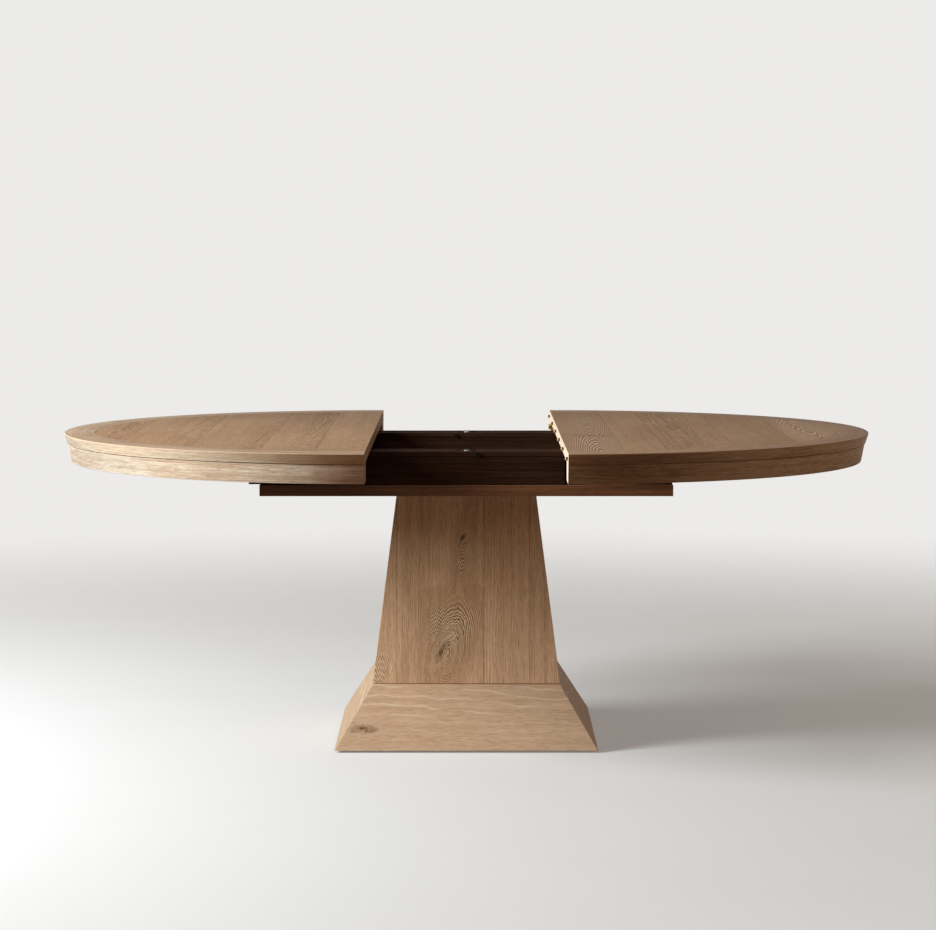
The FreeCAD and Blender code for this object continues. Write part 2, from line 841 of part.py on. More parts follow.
def lock_lever():
    # Straight lever in its locked direction, then swung back to where it is stowed.
    x = split + lock_setback
    y = -lock_line
    notch_half = keeper_radius + keeper_clearance
    arm_end = x - hook_radius - lever_tip
    tab_end = x + tab_length
    half = lever_width / 2
    hub = rod(lever_hub_radius, x, y, lever_under, lever_top)
    arm = block(arm_end, x, y - half, y + half, lever_under, lever_top)
    tab = block(x, tab_end, y - tab_width / 2, y + tab_width / 2, lever_under, lever_top)
    flange_under = lever_top - tab_height
    flange = block(tab_end - tab_thickness, tab_end, y - tab_width / 2, y + tab_width / 2, flange_under, lever_top)
    ring = rod(hook_radius + notch_half, x, y, lever_under, lever_top)
    ring = ring.cut(rod(hook_radius - notch_half, x, y, lever_under, lever_top))
    notch = ring.common(block(arm_end, x, y - half, y + notch_half, lever_under, lever_top))
    lever = hub.fuse([arm, tab, flange]).removeSplitter()
    lever = lever.cut([notch, rod(rivet_radius + rivet_clearance, x, y, lever_under, lever_top)])
    return turned(lever, -lock_swing, x, y)


def moving_pieces():
    return {
        "front_pinion": pinion(),
        "back_pinion": to_back(pinion()),
        "front_lock_lever": turned(lock_lever(), front_lock_tuck, split + lock_setback, -lock_line),
        "back_lock_lever": to_back(turned(lock_lever(), back_lock_tuck, split + lock_setback, -lock_line)),
    }


nodes = pedestal()
nodes["front_fixed_rail"] = fixed_rail()
nodes["back_fixed_rail"] = to_back(fixed_rail())
nodes["fixed_rail_screws"] = rail_screws()
nodes["slide_stop_pegs"] = stop_pegs()
nodes["pinion_axles"] = group([axle(), to_back(axle())])
nodes.update(left_half())
nodes.update(right_half())
nodes.update(moving_pieces())

for name, shape in nodes.items():
    shape.exportStep("parts/" + name + ".step")
    print(name, len(shape.Solids), shape.isValid(), round(shape.Volume))
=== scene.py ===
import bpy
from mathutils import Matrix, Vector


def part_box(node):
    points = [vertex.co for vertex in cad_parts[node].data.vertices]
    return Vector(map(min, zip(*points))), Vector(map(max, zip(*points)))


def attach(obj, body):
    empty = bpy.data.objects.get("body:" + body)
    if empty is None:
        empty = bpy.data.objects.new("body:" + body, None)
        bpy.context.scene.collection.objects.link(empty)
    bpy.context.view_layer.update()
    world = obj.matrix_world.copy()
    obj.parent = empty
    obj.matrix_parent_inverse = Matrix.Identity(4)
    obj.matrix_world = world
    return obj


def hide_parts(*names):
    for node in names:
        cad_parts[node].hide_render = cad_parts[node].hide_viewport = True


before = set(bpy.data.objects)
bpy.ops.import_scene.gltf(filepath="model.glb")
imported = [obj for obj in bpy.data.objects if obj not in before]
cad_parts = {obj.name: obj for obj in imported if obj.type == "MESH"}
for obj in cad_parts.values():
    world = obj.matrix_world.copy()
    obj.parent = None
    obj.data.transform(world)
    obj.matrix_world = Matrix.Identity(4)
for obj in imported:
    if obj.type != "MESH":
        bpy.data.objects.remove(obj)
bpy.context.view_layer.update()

import bisect
import math
import random

import bmesh
import bpy
from mathutils import Matrix, Vector

# Lengths are in metres. X runs along the slides, Y from front to back, Z is up.
# Each oak piece carries two maps. "grain" holds the distance along the grain and, across it, the number of
# the veneer leaf plus 0.5 and the distance from its middle. "seam" holds the distances to its two seams.
# The colour layer "leaf" says how the leaf was cut from the log: pith, depth, tilt and middle.


def paint(red, green, blue):
    # A colour as seen on a screen, 0 to 255, as the shaders want it.
    parts = []
    for part in (red, green, blue):
        part = part / 255
        parts.append(part / 12.92 if part <= 0.04045 else ((part + 0.055) / 1.055) ** 2.4)
    return (*parts, 1.0)


def tones(pale, mid, dark):
    return {"Pale": paint(*pale), "Mid": paint(*mid), "Dark": paint(*dark)}


def paintShadeTo(end, tone, start, stop):
    # Painted shade: another tone towards the split end or the far end of a piece, between two distances along
    # its grain, standing in for less or more light falling there.
    return {end + " tone": (*tone, 1.0), end + " start": start, end + " end": stop}


# Shader arithmetic

def feed(tree, socket, value):
    if isinstance(value, Field):
        value = value.socket
    if isinstance(value, bpy.types.NodeSocket):
        tree.links.new(value, socket)
    else:
        socket.default_value = value


class Field:
    # A number that varies over a surface, so that a figure can be written as plain arithmetic.
    def __init__(self, tree, socket):
        self.tree = tree
        self.socket = socket

    def math(self, operation, *others):
        node = self.tree.nodes.new("ShaderNodeMath")
        node.operation = operation
        for socket, value in zip(node.inputs, (self, *others)):
            feed(self.tree, socket, value)
        return Field(self.tree, node.outputs[0])

    def __add__(self, other):
        return self.math("ADD", other)

    def __sub__(self, other):
        return self.math("SUBTRACT", other)

    def __mul__(self, other):
        return self.math("MULTIPLY", other)

    def __truediv__(self, other):
        return self.math("DIVIDE", other)

    def inverse(self):
        return self * -1.0 + 1.0

    def least(self, other):
        return self.math("MINIMUM", other)

    def most(self, other):
        return self.math("MAXIMUM", other)

    def size(self):
        return self.math("ABSOLUTE")

    def root(self):
        return self.math("SQRT")

    def whole(self):
        return self.math("FLOOR")

    def part(self):
        return self.math("FRACT")

    def ramp(self, low, high):
        node = self.tree.nodes.new("ShaderNodeMapRange")
        node.interpolation_type = "SMOOTHSTEP"
        for socket, value in zip(node.inputs, (self, low, high, 0.0, 1.0)):
            feed(self.tree, socket, value)
        return Field(self.tree, node.outputs[0])


def newGroup(name, takes):
    # A shader group with named inputs. Gives the tree and its inputs as fields.
    tree = bpy.data.node_groups.new(name, "ShaderNodeTree")
    for label, value in takes.items():
        kind = "NodeSocketFloat"
        if isinstance(value, tuple):
            kind = "NodeSocketColor" if len(value) == 4 else "NodeSocketVector"
        tree.interface.new_socket(label, in_out="INPUT", socket_type=kind).default_value = value
    take = tree.nodes.new("NodeGroupInput")
    return tree, {label: Field(tree, take.outputs[label]) for label in takes}


def giveOut(tree, colour, roughness, height):
    # What every surface group hands to its material.
    tree.interface.new_socket("Color", in_out="OUTPUT", socket_type="NodeSocketColor")
    for label in ("Roughness", "Height"):
        tree.interface.new_socket(label, in_out="OUTPUT", socket_type="NodeSocketFloat")
    give = tree.nodes.new("NodeGroupOutput")
    feed(tree, give.inputs["Color"], colour)
    feed(tree, give.inputs["Roughness"], roughness)
    feed(tree, give.inputs["Height"], height)
    return tree


def split(tree, socket):
    node = tree.nodes.new("ShaderNodeSeparateXYZ")
    feed(tree, node.inputs[0], socket)
    return [Field(tree, part) for part in node.outputs]


def join(tree, x, y, z):
    node = tree.nodes.new("ShaderNodeCombineXYZ")
    for socket, value in zip(node.inputs, (x, y, z)):
        feed(tree, socket, value)
    return node.outputs[0]


def placeOnPiece(tree):
    return split(tree, tree.nodes.new("ShaderNodeTexCoord").outputs["Object"])


def noise(tree, place, detail=2.0, rough=0.5):
    node = tree.nodes.new("ShaderNodeTexNoise")
    feed(tree, node.inputs["Vector"], place)
    node.inputs["Scale"].default_value = 1.0
    node.inputs["Detail"].default_value = detail
    node.inputs["Roughness"].default_value = rough
    return Field(tree, node.outputs[0])


def chance(tree, first, second):
    node = tree.nodes.new("ShaderNodeTexWhiteNoise")
    node.noise_dimensions = "2D"
    feed(tree, node.inputs["Vector"], join(tree, first, second, 0.0))
    return Field(tree, node.outputs[0])


def mix(tree, amount, first, second, way="MIX"):
    node = tree.nodes.new("ShaderNodeMix")
    node.data_type = "RGBA"
    node.blend_type = way
    feed(tree, node.inputs[0], amount)
    feed(tree, node.inputs[6], first)
    feed(tree, node.inputs[7], second)
    return node.outputs[2]


# Mixes the painted shade of one end into a colour, by the distance along the piece.
def paintShadeAlong(tree, colour, place, given, end):
    toned = mix(tree, 1.0, colour, given[end + " tone"], "MULTIPLY")
    return mix(tree, place.ramp(given[end + " start"], given[end + " end"]), colour, toned)


# No painted shade: a white tone between distances that no piece reaches.
noPaintedShade = (1.0, 1.0, 1.0)
outOfReach = (8.0, 9.0)

# Oak veneer: leaves cut from logs, growth rings, pores, ray flecks, pale waves, knots and seams.

oakInputs = {
    "Pale": paint(206, 178, 146),
    "Mid": paint(186, 154, 120),
    "Dark": paint(140, 106, 74),
    "Pore": paint(96, 68, 44),
    "Fleck": paint(216, 192, 162),
    "Knot": paint(92, 60, 37),
    "Ring spacing": 0.0030,
    "Ring strength": 0.4,
    "Fibre strength": 1.0,
    "Pore strength": 0.6,
    "Fleck strength": 0.3,
    "Lime strength": 0.0,
    "Wave strength": 0.0,
    "Tone spread": 0.12,
    "Seam strength": 0.5,
    "Wear and highlight": 0.0,
    # Painted shade towards the split end and the far end; none unless a piece sets it.
    **paintShadeTo("Split", noPaintedShade, *outOfReach),
    **paintShadeTo("Far shade", noPaintedShade, *outOfReach),
    "Plain roughness": 0.5,
    "Knot lean": 0.0,
    "First knot": (9.0, 9.0, 0.01),
    "Second knot": (9.0, 9.0, 0.01),
}

# Each layer of noise: how fine it is along and across the grain, its seed, its detail and its roughness.
oakLayers = {
    "ripple": (60.0, 90.0, 0.0, 2.0, 0.5),
    "sway": (2.4, 9.0, 0.0, 2.0, 0.5),
    "tremble": (14.0, 60.0, 7.0, 2.0, 0.5),
    "jag": (4.0, 500.0, 13.0, 2.0, 0.5),
    "wander": (6.0, 22.0, 41.0, 2.0, 0.5),
    "fine": (60.0, 1150.0, 3.0, 2.0, 0.5),
    "coarse": (34.0, 480.0, 5.0, 2.0, 0.5),
    "fibre": (13.0, 300.0, 11.0, 3.0, 0.65),
    "streak": (1.8, 60.0, 17.0, 2.0, 0.5),
    "cloud": (1.9, 5.0, 23.0, 2.0, 0.5),
    "spot": (20.0, 34.0, 29.0, 2.0, 0.5),
    "patch": (3.0, 9.0, 30.0, 1.0, 0.5),
    "drift": (5.5, 6.0, 31.0, 2.0, 0.5),
    "kink": (26.0, 12.0, 33.0, 2.0, 0.5),
    "breakUp": (6.0, 24.0, 37.0, 2.0, 0.5),
}

oakFigure = {
    "swayDeep": 0.016,  # how far slow bends move the rings, into the log and sideways
    "swayAside": 0.014,
    "tremble": 0.0042,
    "jag": 0.012,
    "wander": 0.006,
    "bluntTip": 0.04,  # rounds the tip of a cathedral arch
    "knotPush": 1.4,
    "knotShade": 45.0,
    "knotStretch": 0.4,
    "knotWobble": 2.6,
    "wavePitch": 0.027,
    "waveRise": 0.07,
    "waveDrift": 0.055,
    "waveKink": 0.010,
    "seamLine": (0.0002, 0.0011),
}


class Veneer:
    # Where a point lies on its leaf, and how that leaf was cut.
    def __init__(self, tree, given):
        self.tree = tree
        self.given = given
        maps = []
        for name in ("grain", "seam"):
            node = tree.nodes.new("ShaderNodeUVMap")
            node.uv_map = name
            maps.append(split(tree, node.outputs[0]))
        self.along, self.level = maps[0][:2]
        self.toSeam = maps[1][0].least(maps[1][1])
        self.number = self.level.whole()
        self.across = self.level - self.number - 0.5
        self.seed = self.number * 3.71
        cut = tree.nodes.new("ShaderNodeAttribute")
        cut.attribute_name = "leaf"
        self.pith, self.depth, self.tilt = split(tree, cut.outputs["Vector"])
        self.middle = Field(tree, cut.outputs["Alpha"])

    def layer(self, name, sideways=None):
        fineAlong, fineAcross, seed, detail, rough = oakLayers[name]
        aside = (sideways or self.across) * fineAcross
        place = join(self.tree, self.along * fineAlong, aside, self.seed + seed)
        return noise(self.tree, place, detail, rough)

    def knot(self, name, ripple):
        # Dark core, bright rim and how far the rings are pushed aside.
        along, level, size = split(self.tree, self.given[name])
        run = self.along - along
        side = self.level - level - run * self.given["Knot lean"]
        run = run * oakFigure["knotStretch"]
        reach = (run * run + side * side).root() / size + (ripple - 0.5) * oakFigure["knotWobble"]
        dark = reach.ramp(0.0, 0.8).inverse() * 0.65 + reach.ramp(0.2, 2.4).inverse() * 0.35
        bright = reach.ramp(0.9, 1.3) * reach.ramp(1.3, 2.4).inverse()
        bulge = reach.ramp(0.0, 5.0).inverse() * size
        return dark, bright, bulge

    def rings(self, push):
        # Growth rings, as a saw meets them: early wood, pale lime in late wood, and the heart of a figure.
        sway = self.layer("sway") - 0.5
        tremble = self.layer("tremble") - 0.5
        run = self.along - self.middle + (self.layer("jag") - 0.5) * oakFigure["jag"]
        rise = (run * run + oakFigure["bluntTip"] ** 2).root()
        sunk = self.depth - self.tilt * rise + sway * oakFigure["swayDeep"]
        steep = self.tilt.ramp(0.2, 0.4)
        offset = self.across - self.pith - run * steep * 0.15 + sway * oakFigure["swayAside"]
        offset = offset * (run.ramp(0.0, 0.02) * steep * 1.2 + 1.0)
        distance = (offset * offset + sunk * sunk).root()
        distance = distance + tremble * oakFigure["tremble"] - push * oakFigure["knotPush"]
        turn = distance / self.given["Ring spacing"]
        phase = turn.part()
        early = phase.ramp(0.0, 0.2) * phase.ramp(0.4, 0.75).inverse()
        early = early * (chance(self.tree, turn.whole(), self.number) * 0.5 + 0.5)
        late = phase.ramp(0.5, 0.72) * phase.ramp(0.88, 1.0).inverse()
        # Rings show in the figure of a leaf, hardly where it is plain or between two figures.
        figured = self.tilt.size().ramp(0.03, 0.05)
        deep = figured * self.depth.ramp(0.02, 0.05)
        between = run.size().ramp(0.02, 0.07).inverse() * 0.85
        beyond = sunk.ramp(-0.010, 0.006).inverse() * 0.65
        shown = (deep * between.most(beyond).most(run.ramp(0.0, 0.08) * 0.25)).inverse()
        early = early * (offset.size().ramp(0.025, 0.075).inverse() * 0.7 + 0.3) * shown
        slant = run * self.tilt * 0.7
        local = (slant * slant + offset * offset).root()
        lime = late * figured * shown * local.ramp(0.025, 0.095).inverse()
        heart = deep * local.ramp(0.03, 0.10).inverse()
        return early, lime, heart

    def waves(self):
        # Long pale waves, in the upper half of a level board.
        drift = (self.layer("drift") - 0.5) * oakFigure["waveDrift"]
        kink = (self.layer("kink") - 0.5) * oakFigure["waveKink"]
        place = self.across + self.along * oakFigure["waveRise"] + drift + kink
        crest = ((place / oakFigure["wavePitch"]).part() - 0.5).size()
        wave = crest.ramp(0.01, 0.10).inverse() * 0.75 + crest.ramp(0.0, 0.3).inverse() * 0.25
        return wave * self.layer("breakUp").ramp(0.44, 0.58) * self.across.ramp(-0.006, 0.012)


def buildOak():
    tree, given = newGroup("oakVeneer", oakInputs)
    leaf = Veneer(tree, given)
    ripple = leaf.layer("ripple")
    knots = [leaf.knot(name, ripple) for name in ("First knot", "Second knot")]
    core = knots[0][0].most(knots[1][0])
    rim = knots[0][1].most(knots[1][1])
    push = knots[0][2] + knots[1][2]
    early, lime, heart = leaf.rings(push)

    # Pores lie in the early wood, fibres everywhere. Ray flecks are short and pale.
    lane = leaf.across + (leaf.layer("wander") - 0.5) * oakFigure["wander"]
    fine = leaf.layer("fine", lane)
    pores = fine.ramp(0.50, 0.70).most(leaf.layer("coarse", lane).ramp(0.52, 0.68)) * (early * 0.6 + 0.4)
    fibre = leaf.layer("fibre", lane) - 0.5
    streak = leaf.layer("streak", lane) - 0.5
    cloud = leaf.layer("cloud") - 0.5
    fleck = leaf.layer("spot").ramp(0.56, 0.68) * leaf.layer("patch").ramp(0.44, 0.60)
    fleck = fleck * fibre.ramp(-0.12, 0.22)
    specks = fine.ramp(0.30, 0.46).inverse() * 0.45
    lime = lime * fibre.ramp(-0.4, 0.05)
    seams = leaf.toSeam.ramp(*oakFigure["seamLine"]).inverse()

    spread = cloud * 1.5 + (fibre * 1.5 + streak * 1.1) * given["Fibre strength"] + 0.5
    spread = spread - push * oakFigure["knotShade"] - heart * 0.55
    colour = mix(tree, spread.ramp(-0.1, 1.1), given["Mid"], given["Pale"])
    colour = mix(tree, early * given["Ring strength"], colour, given["Dark"])
    colour = mix(tree, pores * given["Pore strength"], colour, given["Pore"])
    pale = (fleck * given["Fleck strength"]).most(leaf.waves() * given["Wave strength"])
    pale = pale.most(lime * given["Lime strength"]).most(rim * 0.35).most(specks * given["Pore strength"])
    colour = mix(tree, pale, colour, given["Fleck"])
    colour = mix(tree, core.least(0.85), colour, given["Knot"])
    tone = (chance(tree, leaf.number, 4.7) - 0.5) * given["Tone spread"] * 2.0 + 1.0
    colour = mix(tree, 1.0, colour, join(tree, tone, tone, tone), "MULTIPLY")
    colour = mix(tree, seams * given["Seam strength"], colour, given["Pore"])
    # Worn edges paler: wear and a painted highlight.
    colour = mix(tree, given["Wear and highlight"], colour, given["Pale"])
    # Painted shade towards the split end and the far end of the piece.
    for end in ("Split", "Far shade"):
        colour = paintShadeAlong(tree, colour, leaf.along, given, end)
    rough = given["Plain roughness"] + pores * 0.16 - pale * 0.06 + cloud * 0.1 + fibre * 0.12
    height = fibre * 0.35 - pores * 0.6 - early * 0.2 - seams * 0.9 - core * 0.3
    return giveOut(tree, colour, rough, height)


def buildStained():
    # Wood under dark stain, with the grain along X, from places on the piece itself.
    tree, given = newGroup("stainedWood", {
        "Light": paint(90, 62, 44),
        "Deep": paint(44, 28, 18),
        "Pore": paint(22, 13, 8),
        "Bare": paint(206, 172, 134),
        "Painted tip until": -9.0,
        **paintShadeTo("Far shade", noPaintedShade, *outOfReach),
        "Wear and highlight": 0.0,
        "Plain roughness": 0.5,
    })
    x, y, z = placeOnPiece(tree)
    fibre = noise(tree, join(tree, x * 3.0, y * 170.0, z * 170.0), 3.0, 0.6)
    cloud = noise(tree, join(tree, x * 2.2, y * 9.0, z * 14.0))
    pores = noise(tree, join(tree, x * 40.0, y * 900.0, z * 900.0)).ramp(0.54, 0.72)
    spread = (fibre - 0.5) * 1.5 + (cloud - 0.5) * 1.3 + 0.45
    colour = mix(tree, spread.ramp(0.0, 1.0), given["Deep"], given["Light"])
    colour = mix(tree, pores * 0.6, colour, given["Pore"])
    colour = mix(tree, given["Wear and highlight"] * cloud.ramp(0.3, 0.7), colour, given["Light"])
    # Painted shade towards one end along X.
    colour = paintShadeAlong(tree, colour, x, given, "Far shade")
    # Paler up to a distance along X: a painted highlight on the tips of the pins.
    paintedTip = (x - given["Painted tip until"]).ramp(-0.0004, 0.0004).inverse()
    colour = mix(tree, paintedTip * (fibre * 0.5 + 0.6), colour, given["Bare"])
    rough = given["Plain roughness"] + pores * 0.15 + (cloud - 0.5) * 0.2
    return giveOut(tree, colour, rough, fibre * 0.5 - pores * 0.6)


def buildMetal():
    # Machined or plated metal with fine scratches and duller patches.
    tree, given = newGroup("workedMetal", {
        "Bright": paint(190, 190, 188),
        "Dull": paint(120, 118, 114),
        "Plain roughness": 0.32,
    })
    x, y, z = placeOnPiece(tree)
    patch = noise(tree, join(tree, x * 60.0, y * 60.0, z * 60.0), 3.0)
    marks = noise(tree, join(tree, x * 260.0, y * 260.0, z * 2600.0)).ramp(0.55, 0.75)
    colour = mix(tree, patch.ramp(0.35, 0.7), given["Bright"], given["Dull"])
    rough = given["Plain roughness"] + patch.ramp(0.3, 0.8) * 0.22 + marks * 0.1
    return giveOut(tree, colour, rough, marks * -0.4 + patch * 0.2)


def buildMoulded():
    # Moulded plastic with a fine spark texture and some dust in patches.
    tree, given = newGroup("mouldedPlastic", {
        "Body": paint(34, 33, 32),
        "Dust": paint(92, 88, 82),
        "Plain roughness": 0.55,
    })
    x, y, z = placeOnPiece(tree)
    spark = noise(tree, join(tree, x * 1400.0, y * 1400.0, z * 1400.0))
    patch = noise(tree, join(tree, x * 55.0, y * 55.0, z * 90.0), 3.0)
    colour = mix(tree, patch.ramp(0.45, 0.8) * 0.5, given["Body"], given["Dust"])
    return giveOut(tree, colour, given["Plain roughness"] + spark * 0.15, spark * 0.4)


effects = {"oak": buildOak(), "stained": buildStained(), "metal": buildMetal(), "moulded": buildMoulded()}
print("stage: shared surface groups made")


reliefStrength = 0.4
plainSheen = 0.15


def surface(name, effect, settings, metallic=0.0, bump=0.0004, specular=plainSheen):
    material = bpy.data.materials.new(name)
    material.use_nodes = True
    tree = material.node_tree
    tree.nodes.clear()
    group = tree.nodes.new("ShaderNodeGroup")
    group.node_tree = effects[effect]
    for label, value in settings.items():
        group.inputs[label].default_value = value
    shader = tree.nodes.new("ShaderNodeBsdfPrincipled")
    shader.inputs["Metallic"].default_value = metallic
    shader.inputs["Specular IOR Level"].default_value = specular
    relief = tree.nodes.new("ShaderNodeBump")
    relief.inputs["Strength"].default_value = reliefStrength
    relief.inputs["Distance"].default_value = bump
    output = tree.nodes.new("ShaderNodeOutputMaterial")
    tree.links.new(group.outputs["Color"], shader.inputs["Base Color"])
    tree.links.new(group.outputs["Roughness"], shader.inputs["Roughness"])
    tree.links.new(group.outputs["Height"], relief.inputs["Height"])
    tree.links.new(relief.outputs["Normal"], shader.inputs["Normal"])
    tree.links.new(shader.outputs["BSDF"], output.inputs["Surface"])
    return material


oakLook = {
    "sheen": 0.02,
    # Worn edges: paler as wear and as a painted highlight along the arrises.
    "wornEdge": {"Wear and highlight": 0.75},
    "joint": {
        **tones((128, 96, 68), (104, 76, 50), (78, 54, 34)),
        "Fleck strength": 0.0,
        "Wave strength": 0.0,
    },
    "cutEnd": {
        "Ring strength": 0.5,
        "Fleck strength": 0.0,
        "Wave strength": 0.0,
        "Lime strength": 0.0,
        "Seam strength": 0.0,
        # No painted shade on cut ends.
        **paintShadeTo("Split", noPaintedShade, *outOfReach),
        **paintShadeTo("Far shade", noPaintedShade, *outOfReach),
    },
    "paleEnd": {**tones((226, 206, 182), (212, 190, 164), (190, 160, 126)), "Pore": paint(160, 126, 94)},
    # A darker cut end: painted shade for split faces turned away from the light.
    "brownEnd": {**tones((150, 118, 90), (136, 104, 76), (112, 82, 56)), "Pore": paint(86, 60, 40)},
}


def oakSet(name, settings, sheen=oakLook["sheen"], endTone="paleEnd"):
    # Face, worn edge with its painted highlight, dark joint and cut end of one kind of oak, in the order of
    # the material places.
    kinds = {
        "Face": settings,
        "WornEdge": {**settings, **oakLook["wornEdge"]},
        "Joint": {**settings, **oakLook["joint"]},
        "CutEnd": {**settings, **oakLook[endTone], **oakLook["cutEnd"]},
    }
    return [surface(name + kind, "oak", values, specular=sheen) for kind, values in kinds.items()]


# Building pieces

facePlace, wornAndHighlightPlace, jointPlace, cutPlace, lippingPlace = range(5)
sharpAngle = math.radians(28)
upright = Vector((0, 0, 1))


class Shape:
    # A mesh in the making, with its grain maps.
    def __init__(self):
        self.mesh = bmesh.new()
        self.grain = self.mesh.loops.layers.uv.new("grain")
        self.seam = self.mesh.loops.layers.uv.new("seam")
        self.leaf = self.mesh.loops.layers.float_color.new("leaf")

    def mark(self, loop, leaf, along, across, seams=(1.0, 1.0)):
        loop[self.grain].uv = (along, leaf["number"] + 0.5 + across)
        loop[self.seam].uv = seams
        loop[self.leaf] = (leaf["pith"], leaf["depth"], leaf["tilt"], leaf["middle"])

    def sweep(self, section, centre, start, angle, steps, leaf):
        # Turns a section about an upright axis at X = centre.
        # Each point has a radius, a level and the material place of the face that follows it.
        rows = []
        for step in range(steps + 1):
            turn = math.radians(start + angle * step / steps)
            cosine, sine = math.cos(turn), math.sin(turn)
            row = []
            for radius, z, place in section:
                row.append(self.mesh.verts.new((centre + radius * cosine, radius * sine, z)))
            rows.append(row)
        count = len(section)
        widths = [0.0]
        for here in range(count):
            near, far = section[here], section[(here + 1) % count]
            widths.append(widths[-1] + math.hypot(far[0] - near[0], far[1] - near[1]))
        girth = math.radians(abs(angle)) * max(radius for radius, z, place in section) / steps
        for step in range(steps):
            for here in range(count):
                if max(section[here][0], section[(here + 1) % count][0]) < 1e-6:
                    continue  # both points lie on the axis
                corners = [(step, here), (step + 1, here), (step + 1, here + 1), (step, here + 1)]
                face = self.mesh.faces.new([rows[row][spot % count] for row, spot in corners])
                face.material_index = section[here][2]
                for loop, (row, spot) in zip(face.loops, corners):
                    self.mark(loop, leaf, row * girth, widths[spot] - widths[-1] / 2)
        for row in (rows[0], rows[-1]):
            face = self.mesh.faces.new(row)
            face.material_index = cutPlace
            for loop, (radius, z, place) in zip(face.loops, section):
                self.mark(loop, leaf, radius, z - section[0][1])

    def prism(self, lower, upper, place=facePlace):
        # A solid between two outlines with the same number of corners.
        base = [self.mesh.verts.new(point) for point in lower]
        head = [self.mesh.verts.new(point) for point in upper]
        faces = [self.mesh.faces.new(base), self.mesh.faces.new(head)]
        for here in range(len(base)):
            there = (here + 1) % len(base)
            faces.append(self.mesh.faces.new((base[here], base[there], head[there], head[here])))
        for face in faces:
            face.material_index = place

    def layLeaves(self, along, across, outward, seams, leaves):
        # Cuts the mesh at the seams and lays one leaf of veneer on each strip, from the outer face inwards.
        for place in seams:
            everything = self.mesh.verts[:] + self.mesh.edges[:] + self.mesh.faces[:]
            bmesh.ops.bisect_plane(self.mesh, geom=everything, plane_co=across * place, plane_no=across)
        ends = [-9.0, *seams, 9.0]
        surfaceLevel = max(corner.co.dot(outward) for corner in self.mesh.verts)
        for face in self.mesh.faces:
            strip = bisect.bisect(seams, face.calc_center_median().dot(across))
            leaf = leaves[strip]
            for loop in face.loops:
                point = loop.vert.co
                side = point.dot(across)
                toSeams = (side - ends[strip], ends[strip + 1] - side)
                inwards = point.dot(outward) - surfaceLevel
                self.mark(loop, leaf, point.dot(along), side - leaf["centre"] + inwards, toSeams)

    def finish(self, name, body, node, slotName, materials):
        bmesh.ops.remove_doubles(self.mesh, verts=self.mesh.verts, dist=1e-7)
        bmesh.ops.recalc_face_normals(self.mesh, faces=self.mesh.faces)
        data = bpy.data.meshes.new(name)
        self.mesh.to_mesh(data)
        self.mesh.free()
        data.polygons.foreach_set("use_smooth", [True] * len(data.polygons))
        data.set_sharp_from_angle(angle=sharpAngle)
        piece = bpy.data.objects.new(name, data)
        bpy.context.scene.collection.objects.link(piece)
        for material in materials:
            data.materials.append(material)
        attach(piece, body)
        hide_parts(node)
        return piece


leafCuts = {
    "pith": (-0.12, 0.12),  # sideways, from the middle of the leaf to the middle of the log
    "depth": (0.05, 0.11),  # how far the leaf lies from the middle of the log
    "tilt": (-0.02, 0.02),
    "middle": (-1.5, 1.5),  # where along the grain the figure is centred
}
leafCount = [0]


def newLeaf(dice, centre=0.0, **cut):
    # One leaf of veneer, with a cut by chance unless it is given.
    leafCount[0] += 1
    leaf = {"number": leafCount[0], "centre": centre}
    for part, reach in leafCuts.items():
        leaf[part] = dice.uniform(*reach)
    leaf.update(cut)
    return leaf


def leavesBetween(dice, seams, low, high, figure):
    edges = [low, *seams, high]
    leaves = []
    for strip in range(len(edges) - 1):
        leaves.append(newLeaf(dice, (edges[strip] + edges[strip + 1]) / 2, **figure.get(strip, {})))
    return leaves


def easeEdges(piece, width):
    # Rounds the sharp edges and gives them the worn material: paler as wear and, on the oak, as a painted
    # highlight.
    rounding = piece.modifiers.new("easedEdges", "BEVEL")
    rounding.width = width
    rounding.segments = 2
    rounding.limit_method = "ANGLE"
    rounding.angle_limit = math.radians(30)
    rounding.material = wornAndHighlightPlace


# Top

